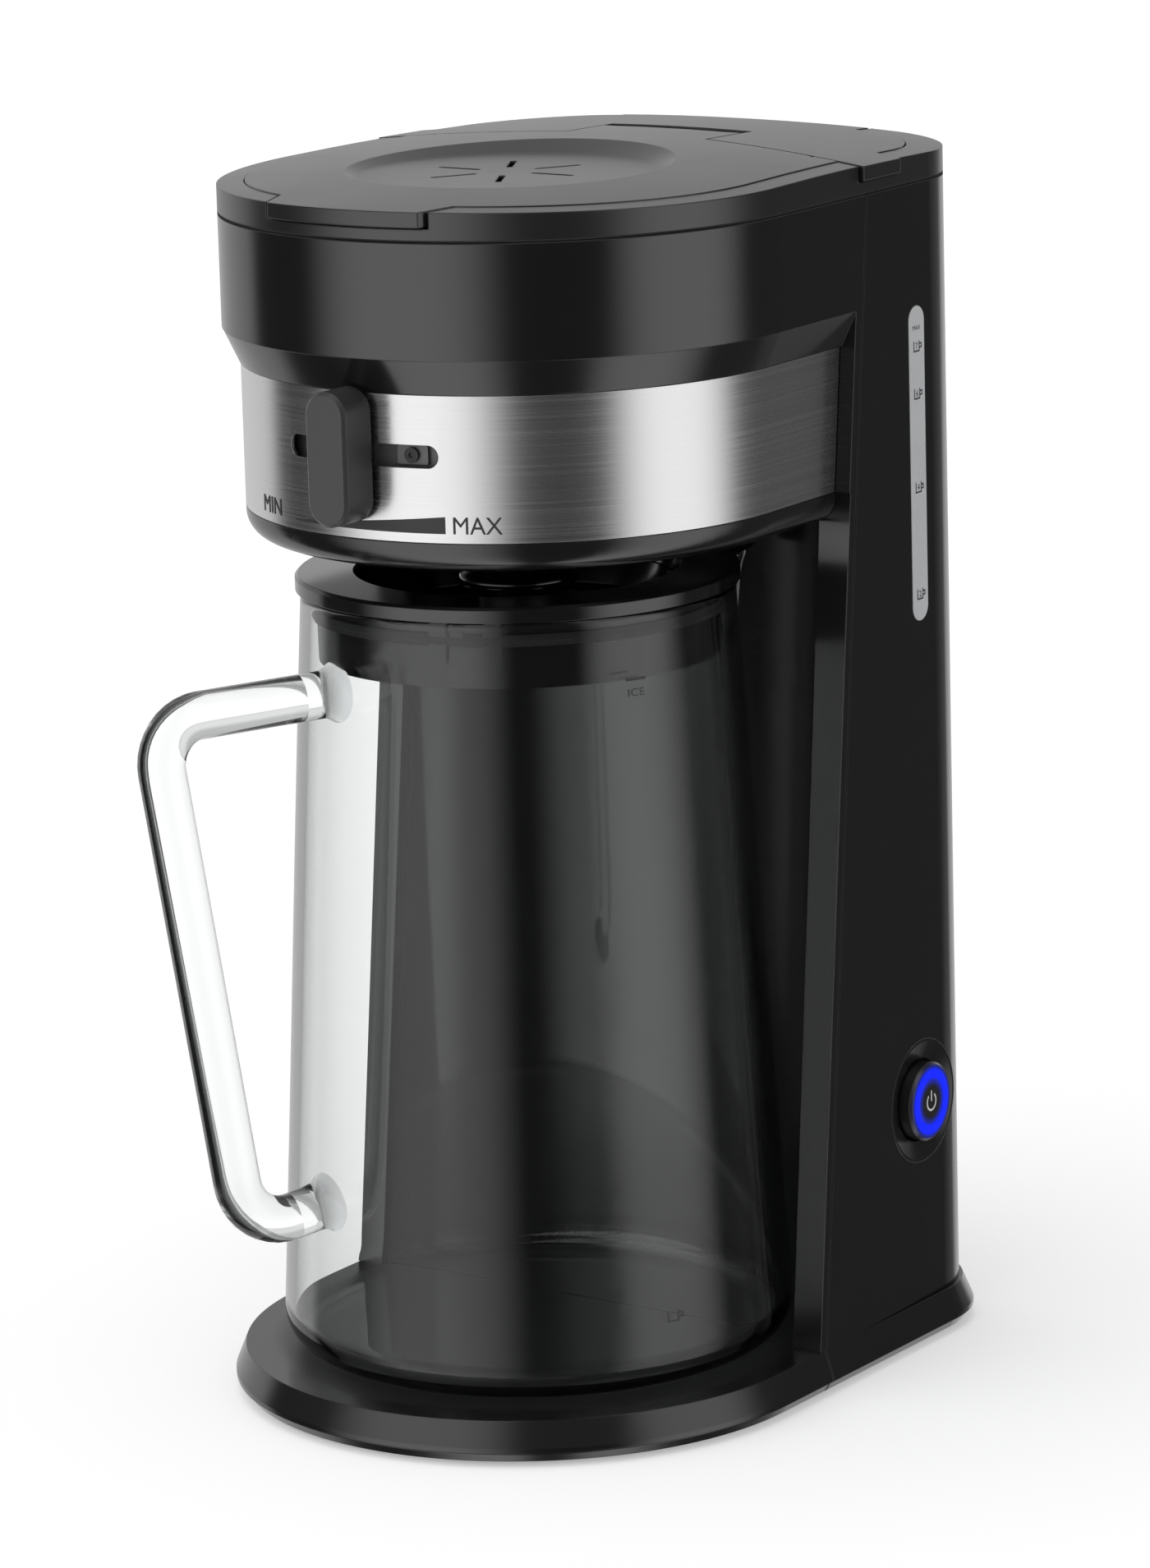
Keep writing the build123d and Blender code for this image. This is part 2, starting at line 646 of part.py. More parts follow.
# Gauge window: clear pill in the side wall with a flange behind it
with BuildPart() as gauge_window:
    with BuildSketch(side_place(gauge_y, gauge_middle, wall + 1.2)):
        SlotOverall(gauge_top - gauge_bottom + 5, gauge_width + 5, rotation=90)
    extrude(amount=1.15)
    with BuildSketch(side_place(gauge_y, gauge_middle, wall + 1.2)):
        SlotOverall(gauge_top - gauge_bottom, gauge_width, rotation=90)
    extrude(amount=wall + 1.3)
gauge_window.part.label = "gauge_window"
export_step(gauge_window.part, "parts/gauge_window.step")


# Plane that holds the button's axis: x runs up from it, y runs outwards
def button_section():
    face = side_place(button_y, button_z)
    return Plane(origin=face.origin, x_dir=(0, 0, 1), z_dir=Vector(0, 0, 1).cross(face.z_dir))


def turned(points):
    face = side_place(button_y, button_z)
    with BuildPart() as body:
        with BuildSketch(button_section()):
            Polygon(*points, align=None)
        revolve(axis=Axis(face.origin, face.z_dir))
    return body.part


# Button bezel: shallow dish in the side wall with a sleeve for the button
with BuildPart() as button_bezel:
    add(turned([
        (bezel_radius, 0), (15.9, 0), (12.0, -1.1), (11.2, -1.3), (11.2, -5.0), (13.4, -5.0),
        (13.4, -9.0), (14.9, -9.0), (14.9, -1.15), (bezel_radius, -1.15),
    ]))
button_bezel.part.label = "button_bezel"
export_step(button_bezel.part, "parts/button_bezel.step")

# Power button: round cap with a groove for the light ring, held behind by its flange
with BuildPart() as power_button:
    add(turned([
        (0, 2.6), (6.25, 2.6), (6.25, 1.2), (8.75, 1.2), (8.75, 2.6), (9.8, 2.6), (button_radius, 1.8),
        (button_radius, -5.3), (12.6, -5.3), (12.6, -6.5), (9.0, -6.5), (9.0, 0.0), (2.5, 0.0),
        (2.5, -9.4), (0, -9.4),
    ]))
power_button.part.label = "power_button"
export_step(power_button.part, "parts/power_button.step")

# Light ring set in the face of the button
with BuildPart() as light_ring:
    add(turned([(6.3, 1.25), (8.7, 1.25), (8.7, 2.65), (6.3, 2.65)]))
light_ring.part.label = "light_ring"
export_step(light_ring.part, "parts/light_ring.step")

# Button switch: block behind the button on a bracket clipped to the bezel sleeve
with BuildPart() as button_switch:
    with BuildSketch(side_place(button_y, button_z, 22)):
        Rectangle(14, 14)
    extrude(amount=10)
    with BuildSketch(side_place(button_y, button_z, 15)):
        Rectangle(34, 16)
    extrude(amount=2)
    with BuildSketch(side_place(button_y, button_z, 15)):
        with Locations((-16, 0), (16, 0)):
            Rectangle(1.6, 16)
    extrude(amount=9)
button_switch.part.label = "button_switch"
export_step(button_switch.part, "parts/button_switch.step")

# Radii of the glass outside, height by height
spout_angle = 90 - handle_angle
glass_profile = [(66.85, 22.7), (65.3, 49.7), (62.3, 103.0), (59.35, 155.6), (57.2, 194.7), (56.2, 209.0)]


# Wedge that points to the spout side, one section (height, reach, half width) after another
def beak(sections, tip=2.5, start=40.0):
    with BuildPart() as spout:
        for z, reach, half in sections:
            with BuildSketch(Plane.XY.offset(z)):
                Polygon((start, -half), (reach, -tip), (reach, tip), (start, half), align=None)
        loft(ruled=True)
    return spout.part.rotate(Axis.Z, spout_angle)


def glass_body(inset, z_foot, z_top, foot_round):
    with BuildPart() as body:
        with BuildSketch(Plane.XZ):
            with BuildLine():
                ring = [(r - inset, z) for r, z in glass_profile]
                foot_r = ring[0][0]
                Line((0, z_foot), (foot_r - foot_round, z_foot))
                ThreePointArc(
                    (foot_r - foot_round, z_foot),
                    (foot_r - 0.293 * foot_round, z_foot + 0.293 * foot_round),
                    (foot_r, z_foot + foot_round),
                )
                if ring[0][1] - z_foot - foot_round > 0.01:
                    Line((foot_r, z_foot + foot_round), ring[0])
                Spline(*ring)
                Polyline(ring[-1], (ring[-1][0], z_top), (0, z_top), (0, z_foot))
            make_face()
        revolve(axis=Axis.Z)
    return body.part


# Pitcher glass: tapered beaker with a rounded foot and a drawn spout
with BuildPart() as pitcher_glass:
    add(glass_body(0, pitcher_bottom, glass_top, 8.8))
    add(beak([(186.5, 57.0, 9), (192.5, 69.5, 13), (206, 71.0, 16), (glass_top, 73.5, 18)]))
    add(glass_body(glass_wall, pitcher_bottom + 4.0, glass_top + 5, 6.5), mode=Mode.SUBTRACT)
    inner_beak = [(188.5, 54.0, 7), (193.5, 67.2, 10.6), (206, 68.8, 13.4), (glass_top + 0.5, 71.4, 15.6)]
    add(beak(inner_beak, tip=1.4), mode=Mode.SUBTRACT)
pitcher_glass.part.label = "pitcher_glass"
export_step(pitcher_glass.part, "parts/pitcher_glass.step")

# Pitcher handle: bent glass rod in one upright plane, flared where it meets the glass
turn = math.radians(handle_angle)
handle_out = Vector(-math.sin(turn), -math.cos(turn), 0)
handle_plane = Plane(origin=(0, 0, 0), x_dir=handle_out, z_dir=handle_out.cross(Vector(0, 0, 1)))
upper_bend = (111.4, 191.5)
lower_bend = (90.1, 55.0)
handle_middle = (101.0, 125.0)
with BuildPart() as pitcher_handle:
    with BuildLine(handle_plane) as rod_line:
        FilletPolyline((54, 191.5), upper_bend, handle_middle, radius=11.5)
        FilletPolyline(handle_middle, lower_bend, (60, 59.3), radius=14.5)
    with BuildSketch(Plane(origin=handle_out * 54 + Vector(0, 0, 191.5), z_dir=handle_out)):
        Circle(handle_rod)
    sweep(path=rod_line.wires()[0])
    with BuildSketch(Plane(origin=handle_out * 54 + Vector(0, 0, 191.5), z_dir=handle_out)):
        Circle(9.2)
    extrude(amount=11.5, taper=15)
    low_dir = (handle_out * 30.1 - Vector(0, 0, 4.3)).normalized()
    with BuildSketch(Plane(origin=handle_out * 60 + Vector(0, 0, 59.3), z_dir=low_dir)):
        Circle(9.2)
    extrude(amount=12.5, taper=14)
    add(glass_body(-0.05, pitcher_bottom, glass_top, 8.8), mode=Mode.SUBTRACT)
pitcher_handle.part.label = "pitcher_handle"
export_step(pitcher_handle.part, "parts/pitcher_handle.step")

# Pitcher lid: flange with a funnel, a skirt inside the glass and a beak over the spout
lid_low = glass_top + 0.3
lid_top = 216.8
skirt_bottom = 195.2
with BuildPart() as pitcher_lid:
    with BuildSketch(Plane.XZ):
        Polygon(
            (7, 203.4), (36.6, 203.4), (40.2, lid_low), (49.6, lid_low), (50.4, skirt_bottom),
            (51.8, skirt_bottom), (52.0, 205.9), (51.4, 205.9), (51.4, 209.2), (52.1, 209.2),
            (52.2, lid_low), (57.4, lid_low), (57.4, lid_top - 0.8), (56.6, lid_top), (42.4, lid_top),
            (41.7, lid_top - 0.7), (38.6, 206.2), (37.8, 205.4), (7, 205.4), align=None,
        )
    revolve(axis=Axis.Z)
    add(beak([(lid_low, 74.2, 23), (lid_top - 0.8, 75.6, 23), (lid_top, 74.8, 22.4)], start=46.0))
    # Drain slots in the funnel floor and a pouring grille in the skirt
    with BuildSketch(Plane.XY.offset(202)):
        with PolarLocations(24, 6, start_angle=30):
            SlotOverall(12, 4.4, rotation=90)
    extrude(amount=6, mode=Mode.SUBTRACT)
    pour = math.radians(spout_angle)
    pour_out = Vector(math.cos(pour), math.sin(pour), 0)
    grille_across = Vector(0, 0, 1).cross(pour_out)
    grille = Plane(origin=pour_out * 46 + Vector(0, 0, 200.8), x_dir=grille_across, z_dir=pour_out)
    with BuildSketch(grille):
        with GridLocations(4.4, 1, 5, 1):
            SlotOverall(7.6, 2.6, rotation=90)
    extrude(amount=9, mode=Mode.SUBTRACT)
pitcher_lid.part.label = "pitcher_lid"
export_step(pitcher_lid.part, "parts/pitcher_lid.step")

# Pitcher seal: soft ring in the groove of the skirt
with BuildPart() as pitcher_seal:
    with BuildSketch(Plane.XZ):
        Polygon((51.45, 206.0), (52.7, 206.0), (53.25, 207.5), (52.7, 209.1), (51.45, 209.1), align=None)
    revolve(axis=Axis.Z)
pitcher_seal.part.label = "pitcher_seal"
export_step(pitcher_seal.part, "parts/pitcher_seal.step")

# Pitcher dome: round cap in the middle of the funnel that spreads the drip
with BuildPart() as pitcher_dome:
    with BuildSketch(Plane.XZ):
        with BuildLine():
            Polyline((0, 217.8), (0, 219.5))
            ThreePointArc((0, 219.5), (9.2, 218.6), (14.4, 215.6))
            ThreePointArc((14.4, 215.6), (15.5, 213.9), (14.6, 212.2))
            Polyline(
                (14.6, 212.2), (12.6, 211.4), (12.6, 207.2), (14.2, 205.45), (11.0, 205.45), (11.0, 211.0),
                (13.0, 213.4), (0, 217.8),
            )
        make_face()
    revolve(axis=Axis.Z)
pitcher_dome.part.label = "pitcher_dome"
export_step(pitcher_dome.part, "parts/pitcher_dome.step")

# Brew basket: tapered cup hung on the chamber wall, with a nozzle through the head floor
with BuildPart() as brew_basket:
    with BuildSketch(Plane.XZ):
        Polygon(
            (3.3, 223.0), (9.0, 223.0), (10.0, 224.0), (10.0, 237.0), (47.0, 238.0), (49.5, 240.0),
            (55.6, 301.0), (56.6, 303.0), (56.6, basket_seat + 0.1), (59.4, basket_seat + 0.1),
            (59.4, basket_seat + 1.5), (54.8, basket_seat + 1.5), (54.8, 301.0), (53.2, 301.0),
            (47.6, 240.0), (2.0, 240.0), (2.0, 238.2), (8.0, 238.2), (8.0, 225.0), (3.3, 225.0), align=None,
        )
    revolve(axis=Axis.Z)
    with BuildSketch(Plane.XY.offset(236)):
        with PolarLocations(5, 6):
            Circle(1.5)
    extrude(amount=6, mode=Mode.SUBTRACT)
brew_basket.part.label = "brew_basket"
export_step(brew_basket.part, "parts/brew_basket.step")

# Mesh filter: cup that rests on the step inside the basket
with BuildPart() as mesh_filter:
    with BuildSketch(Plane.XZ):
        Polygon(
            (0, 243.0), (46.5, 243.0), (52.3, 301.05), (54.5, 301.05), (54.5, 303.6), (53.6, 303.6),
            (53.6, 302.0), (51.5, 302.0), (45.8, 243.8), (0, 243.8), align=None,
        )
    revolve(axis=Axis.Z)
mesh_filter.part.label = "mesh_filter"
export_step(mesh_filter.part, "parts/mesh_filter.step")

# Drip valve: stem that reaches down to the pitcher's dome, with its seal and spring
with BuildPart() as drip_valve:
    with BuildSketch(Plane.XZ):
        Polygon(
            (0, 219.9), (2.2, 219.9), (2.9, 220.6), (2.9, 226.35), (5.6, 226.35), (5.6, 227.8), (2.9, 227.8),
            (2.9, 233.0), (0, 233.0), align=None,
        )
    revolve(axis=Axis.Z)
drip_valve.part.label = "drip_valve"
export_step(drip_valve.part, "parts/drip_valve.step")

with BuildPart() as drip_seal:
    with BuildSketch(Plane.XY.offset(225.05)):
        Circle(5.8)
        Circle(3.4, mode=Mode.SUBTRACT)
    extrude(amount=1.25)
drip_seal.part.label = "drip_seal"
export_step(drip_seal.part, "parts/drip_seal.step")

with BuildPart() as drip_spring:
    with BuildLine():
        coil = Helix(pitch=2.4, height=9.2, radius=4.3, center=(0, 0, 228.3))
    with BuildSketch(Plane(origin=coil @ 0, z_dir=coil % 0)):
        Circle(0.42)
    sweep(path=coil, is_frenet=True)
drip_spring.part.label = "drip_spring"
export_step(drip_spring.part, "parts/drip_spring.step")


# Water tank: upper box behind the brew chamber and a narrower part above the recess
def tank_part(z, front, grow):
    with BuildSketch(Plane.XY.offset(z)) as face:
        add(outline(z, -wall - 1.5 + grow))
        with BuildSketch(Plane.XY.offset(z), mode=Mode.INTERSECT):
            with Locations((0, front - grow + 50)):
                Rectangle(200, 100)
    return face.sketch


with BuildPart() as water_tank:
    add(slab(tank_part(232, 66, 0), 74.5))
    add(slab(tank_part(190, 87.5, 0), 43))
    add(slab(tank_part(234, 66, -2.0), 80), mode=Mode.SUBTRACT)
    add(slab(tank_part(192, 87.5, -2.0), 43), mode=Mode.SUBTRACT)
    with BuildSketch(Plane.XY.offset(180)):
        with Locations((0, pump_y)):
            Circle(4)
    extrude(amount=20, mode=Mode.SUBTRACT)
water_tank.part.label = "water_tank"
export_step(water_tank.part, "parts/water_tank.step")

# Tank outlet and the hose down to the pump
with BuildPart() as tank_outlet:
    with BuildSketch(Plane.XY.offset(176)):
        with Locations((0, pump_y)):
            Circle(8)
            Circle(2.6, mode=Mode.SUBTRACT)
    extrude(amount=13.9)
    with BuildSketch(Plane.XY.offset(189)):
        with Locations((0, pump_y)):
            Circle(3.9)
            Circle(2.6, mode=Mode.SUBTRACT)
    extrude(amount=4.5)
    with BuildSketch(Plane.XY.offset(166)):
        with Locations((0, pump_y)):
            Circle(3.2)
            Circle(2.4, mode=Mode.SUBTRACT)
    extrude(amount=11)
tank_outlet.part.label = "tank_outlet"
export_step(tank_outlet.part, "parts/tank_outlet.step")

with BuildPart() as suction_hose:
    with BuildSketch(Plane.XY.offset(pump_z + 15)):
        with Locations((0, pump_y)):
            Circle(5.2)
            Circle(3.3, mode=Mode.SUBTRACT)
    extrude(amount=175.5 - pump_z - 15)
suction_hose.part.label = "suction_hose"
export_step(suction_hose.part, "parts/suction_hose.step")

# Pump: round body lying across the foot of the column, on two feet
with BuildPart() as pump:
    with BuildSketch(Plane.YZ.offset(-24)):
        with Locations((pump_y, pump_z)):
            Circle(12.5)
    extrude(amount=30)
    with BuildSketch(Plane.YZ.offset(6)):
        with Locations((pump_y, pump_z)):
            Circle(10.5)
    extrude(amount=22)
    with BuildSketch(Plane.XY.offset(column_bottom + 0.1)):
        with Locations((-18, pump_y), (20, pump_y)):
            Rectangle(5, 18)
    extrude(amount=pump_z - column_bottom)
    with BuildSketch(Plane.XY.offset(pump_z)):
        with Locations((0, pump_y)):
            Circle(3.2)
    extrude(amount=22)
    with BuildSketch(Plane.YZ.offset(-24)):
        with Locations((pump_y, pump_z)):
            Circle(3.0)
    extrude(amount=-7)
pump.part.label = "pump"
export_step(pump.part, "parts/pump.step")

# Outlet pipe: from the pump up the left side of the column and over the basket's edge
with BuildPart() as outlet_pipe:
    with BuildLine() as pipe_line:
        FilletPolyline((-32, pump_y, pump_z), (pipe_x, pump_y, pump_z), (pipe_x, pipe_y, pump_z),
                       (pipe_x, pipe_y, 300), radius=8)
    with BuildSketch(Plane(origin=(-32, pump_y, pump_z), z_dir=(-1, 0, 0))):
        Circle(3.5)
    sweep(path=pipe_line.wires()[0])
    with BuildLine() as nozzle_line:
        FilletPolyline((pipe_x, pipe_y, 298), (pipe_x, pipe_y, 309), (-41, 39, 309), radius=3.5)
    with BuildSketch(Plane.XY.offset(298)):
        with Locations((pipe_x, pipe_y)):
            Circle(1.75)
    sweep(path=nozzle_line.wires()[0])
outlet_pipe.part.label = "outlet_pipe"
export_step(outlet_pipe.part, "parts/outlet_pipe.step")

# Control board on the back wall, with its plug row and two round parts
with BuildPart() as control_board:
    with BuildSketch(Plane.XZ.offset(-103.2)):
        with Locations((0, 120)):
            Rectangle(62, 62)
    extrude(amount=-1.6)
    with BuildSketch(Plane.XZ.offset(-103.2)):
        with Locations((20, 104)):
            Rectangle(16, 6)
        with Locations((17, 132), (-20, 112)):
            Rectangle(10, 10)
        with Locations((-17, 136)):
            Circle(5)
    extrude(amount=5)
    with BuildSketch(Plane.XZ.offset(-104.8)):
        with Locations((-26, 95), (26, 95), (-26, 145), (26, 145)):
            Circle(2.4)
    extrude(amount=-3.6)
control_board.part.label = "control_board"
export_step(control_board.part, "parts/control_board.step")

# Cord gland low on the back
with BuildPart() as cord_gland:
    with BuildSketch(Plane.XZ.offset(-(body_rear_y - 6))):
        with Locations((-30, 27)):
            Circle(6.0)
            Circle(3.1, mode=Mode.SUBTRACT)
    extrude(amount=-6.1)
    with BuildSketch(Plane.XZ.offset(-(body_rear_y + 0.05))):
        with Locations((-30, 27)):
            Circle(8.5)
            Circle(3.1, mode=Mode.SUBTRACT)
    extrude(amount=-2.4)
cord_gland.part.label = "cord_gland"
export_step(cord_gland.part, "parts/cord_gland.step")

# Back screws
with BuildPart() as housing_screws:
    with BuildSketch(Plane.XZ.offset(-(body_rear_y - 6))):
        with Locations(*back_screws):
            Circle(1.5)
    extrude(amount=-6.1)
    with BuildSketch(Plane.XZ.offset(-(body_rear_y + 0.05))):
        with Locations(*back_screws):
            Circle(3.0)
    extrude(amount=-1.3)
    with BuildSketch(Plane.XZ.offset(-(body_rear_y + 1.4))):
        with Locations(*back_screws):
            Rectangle(3.4, 0.8)
            Rectangle(0.8, 3.4)
    extrude(amount=0.6, mode=Mode.SUBTRACT)
housing_screws.part.label = "housing_screws"
export_step(housing_screws.part, "parts/housing_screws.step")
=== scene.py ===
import math

import bpy
import numpy as np
from mathutils import Matrix, Vector


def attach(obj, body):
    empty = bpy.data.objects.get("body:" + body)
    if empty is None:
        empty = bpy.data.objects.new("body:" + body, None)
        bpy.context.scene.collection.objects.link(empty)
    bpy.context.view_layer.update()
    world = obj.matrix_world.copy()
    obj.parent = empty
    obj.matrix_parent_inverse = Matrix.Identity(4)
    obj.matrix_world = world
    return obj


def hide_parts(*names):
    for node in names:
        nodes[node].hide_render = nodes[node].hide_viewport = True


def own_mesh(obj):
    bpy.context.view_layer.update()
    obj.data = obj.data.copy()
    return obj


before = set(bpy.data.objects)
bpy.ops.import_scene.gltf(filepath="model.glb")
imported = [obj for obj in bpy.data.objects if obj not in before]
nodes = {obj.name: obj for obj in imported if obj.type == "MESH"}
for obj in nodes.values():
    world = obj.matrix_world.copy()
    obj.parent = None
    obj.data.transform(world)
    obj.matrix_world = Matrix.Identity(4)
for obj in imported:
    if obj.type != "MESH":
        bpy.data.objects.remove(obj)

scene = bpy.context.scene
for spare in ("Cube", "Light", "Camera"):
    if spare in bpy.data.objects:
        bpy.data.objects.remove(bpy.data.objects[spare])
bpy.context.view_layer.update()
mm = 0.001
print("stage: frame loaded")

# camera and studio; the camera was solved from the outlines in the photograph
cameraSet = {
    "place": (0.9565, -1.3211, 0.52615),
    "right": (0.81795, 0.57465, -0.02709),
    "up": (-0.10481, 0.19516, 0.97515),
    "back": (0.56566, -0.79479, 0.21987),
    "lens": 147.97,
    "sensor": 36.0,
    "clip": (0.05, 60.0),
}
studio = {
    "floorRadius": 14.0,
    "floorTone": 0.9,
    "floorLift": 0.37,       # seen by the camera and through glass only, so the floor reads as paper
    "fill": 0.62,            # even light from all round
    "glow": 1.0,             # backdrop as the camera and clear glass see it
    "unlit": 0.055,          # the dark studio between the panels, in reflections
    # how the panels change with a ray's rise: from, to, share below, share above
    "panelRise": ((-0.02, 0.06, 1, 1.12), (0.13, 0.3, 1, 0.72)),
    "overhead": (0.07, 0.2, 0.12),     # least level of a rising ray: from, to, level
    # reflected panels: azimuth from the front towards the right, half width, soft edge, level
    "panels": ((-11, 3, 42, 1.42), (99, 4, 30, 1.32), (138, 14, 14, 0.03),
               (180, 14, 10, 0.2), (-134, 42, 10, 0.8)),
    "throughGlass": 0.4,     # share of a panel left in reflections that come out through the pitcher
    "sunLevel": 0.95,
    "sunSpread": 75,
    "sunTilt": (24, -14),
}


def makeCamera():
    data = bpy.data.cameras.new("camera")
    cam = bpy.data.objects.new("camera", data)
    scene.collection.objects.link(cam)
    right, up, back = (Vector(cameraSet[k]) for k in ("right", "up", "back"))
    turn = Matrix((right, up, back)).transposed().to_4x4()
    cam.matrix_world = Matrix.Translation(cameraSet["place"]) @ turn
    data.sensor_width = cameraSet["sensor"]
    data.lens = cameraSet["lens"]
    data.clip_start, data.clip_end = cameraSet["clip"]
    scene.camera = cam


def deselectAll():
    if bpy.context.object and bpy.context.object.mode != "OBJECT":
        bpy.ops.object.mode_set(mode="OBJECT")
    bpy.ops.object.select_all(action="DESELECT")


def pickOnly(*pieces):
    deselectAll()
    for piece in pieces:
        piece.select_set(True)
    bpy.context.view_layer.objects.active = pieces[0]


def weldActive():
    bpy.ops.object.mode_set(mode="EDIT")
    bpy.ops.mesh.select_all(action="SELECT")
    bpy.ops.mesh.remove_doubles(threshold=0.00001)
    bpy.ops.mesh.normals_make_consistent(inside=False)
    bpy.ops.object.mode_set(mode="OBJECT")


def addNode(tree, kind, inputs=None, **values):
    node = tree.nodes.new(kind)
    for key, value in values.items():
        setattr(node, key, value)
    for key, value in (inputs or {}).items():
        node.inputs[key].default_value = value
    return node


def wire(tree, source, sourceEnd, target, targetEnd):
    tree.links.new(source.outputs[sourceEnd], target.inputs[targetEnd])


def emptyTree(holder):
    holder.use_nodes = True
    holder.node_tree.nodes.clear()
    return holder.node_tree


def newMaterial(name):
    mat = bpy.data.materials.new(name)
    tree = emptyTree(mat)
    out = addNode(tree, "ShaderNodeOutputMaterial")
    shader = addNode(tree, "ShaderNodeBsdfPrincipled")
    wire(tree, shader, "BSDF", out, "Surface")
    return mat, tree, shader


def calc(tree, operation, *values):
    node = addNode(tree, "ShaderNodeMath", operation=operation)
    for i, value in enumerate(values):
        if isinstance(value, (int, float)):
            node.inputs[i].default_value = value
        else:
            tree.links.new(value, node.inputs[i])
    return node.outputs[0]


def vectorMath(tree, operation, source, other=None):
    node = addNode(tree, "ShaderNodeVectorMath", operation=operation)
    tree.links.new(source, node.inputs[0])
    if other is not None:
        node.inputs[1].default_value = other
    return node.outputs


def axesOf(tree, place):
    split = addNode(tree, "ShaderNodeSeparateXYZ")
    tree.links.new(place, split.inputs["Vector"])
    return split.outputs


def placeIn(tree, space):
    return addNode(tree, "ShaderNodeTexCoord").outputs[space]


def stretch(tree, value, low, high, toLow, toHigh, smooth=False):
    node = addNode(tree, "ShaderNodeMapRange")
    if smooth:
        node.interpolation_type = "SMOOTHSTEP"
    for i, number in enumerate((low, high, toLow, toHigh)):
        node.inputs[i + 1].default_value = number
    tree.links.new(value, node.inputs[0])
    return node.outputs[0]


def blendTones(tree, value, first, second):
    # the mix node's colours are its inputs 6 and 7, and its colour output is 2
    node = addNode(tree, "ShaderNodeMix", data_type="RGBA")
    tree.links.new(value, node.inputs[0])
    for i, colour in ((6, first), (7, second)):
        if isinstance(colour, tuple):
            node.inputs[i].default_value = (*colour, 1)
        else:
            tree.links.new(colour, node.inputs[i])
    return node.outputs[2]


def noiseAt(tree, scale, detail, squash=(1, 1, 1)):
    mapping = addNode(tree, "ShaderNodeMapping", {"Scale": squash})
    noise = addNode(tree, "ShaderNodeTexNoise", {"Scale": scale, "Detail": detail})
    tree.links.new(placeIn(tree, "Object"), mapping.inputs["Vector"])
    wire(tree, mapping, "Vector", noise, "Vector")
    return noise.outputs["Fac"]


def midRange(tree, noise, low, high):
    # noise seldom leaves the middle of its range
    return stretch(tree, noise, 0.3, 0.7, low, high)


def roughenNormal(tree, shader, height, strength, distance, corner=None, samples=4):
    bump = addNode(tree, "ShaderNodeBump", {"Strength": strength, "Distance": distance})
    tree.links.new(height, bump.inputs["Height"])
    if corner:
        soft = addNode(tree, "ShaderNodeBevel", {"Radius": corner}, samples=samples)
        wire(tree, soft, "Normal", bump, "Normal")
    wire(tree, bump, "Normal", shader, "Normal")


def leftByMirror(tree, ray):
    # rays that were mirrored before they passed through the glass
    mirrored = calc(tree, "GREATER_THAN", ray["Glossy Depth"], 0.5)
    return mirrored, calc(tree, "MULTIPLY", ray["Is Transmission Ray"], mirrored)


def makeWorld():
    world = bpy.data.worlds.new("studio")
    scene.world = world
    tree = emptyTree(world)
    out = addNode(tree, "ShaderNodeOutputWorld")
    light = addNode(tree, "ShaderNodeBackground")
    ray = addNode(tree, "ShaderNodeLightPath").outputs
    place = placeIn(tree, "Generated")
    flat = vectorMath(tree, "MULTIPLY", place, (1, 1, 0))["Vector"]
    flat = vectorMath(tree, "NORMALIZE", flat)["Vector"]
    seen = studio["unlit"]
    for azimuth, half, soft, strength in studio["panels"]:
        turn = math.radians(azimuth)
        toward = vectorMath(tree, "DOT_PRODUCT", flat, (math.sin(turn), -math.cos(turn), 0))["Value"]
        edge = math.cos(math.radians(half + soft))
        core = math.cos(math.radians(half))
        panel = stretch(tree, toward, edge, core, 0, strength, smooth=True)
        seen = calc(tree, "ADD", seen, panel)
    rise = axesOf(tree, place)["Z"]
    for low, high, below, above in studio["panelRise"]:
        seen = calc(tree, "MULTIPLY", seen, stretch(tree, rise, low, high, below, above, smooth=True))
    low, high, least = studio["overhead"]
    seen = calc(tree, "MAXIMUM", seen, stretch(tree, rise, low, high, 0, least, smooth=True))
    # a ray mirrored inside the glass shows the dark studio, one straight through it the backdrop
    mirrored, through = leftByMirror(tree, ray)
    straight = calc(tree, "MULTIPLY", ray["Is Transmission Ray"], calc(tree, "SUBTRACT", 1, mirrored))
    plain = calc(tree, "MAXIMUM", ray["Is Camera Ray"], straight)
    base = calc(tree, "ADD", studio["fill"],
                calc(tree, "MULTIPLY", plain, studio["glow"] - studio["fill"]))
    glossy = calc(tree, "MAXIMUM", ray["Is Glossy Ray"], through)
    dimmer = calc(tree, "SUBTRACT", 1, calc(tree, "MULTIPLY", through, 1 - studio["throughGlass"]))
    seen = calc(tree, "MULTIPLY", seen, dimmer)
    change = calc(tree, "MULTIPLY", glossy, calc(tree, "SUBTRACT", seen, base))
    tree.links.new(calc(tree, "ADD", base, change), light.inputs["Strength"])
    wire(tree, light, "Background", out, "Surface")


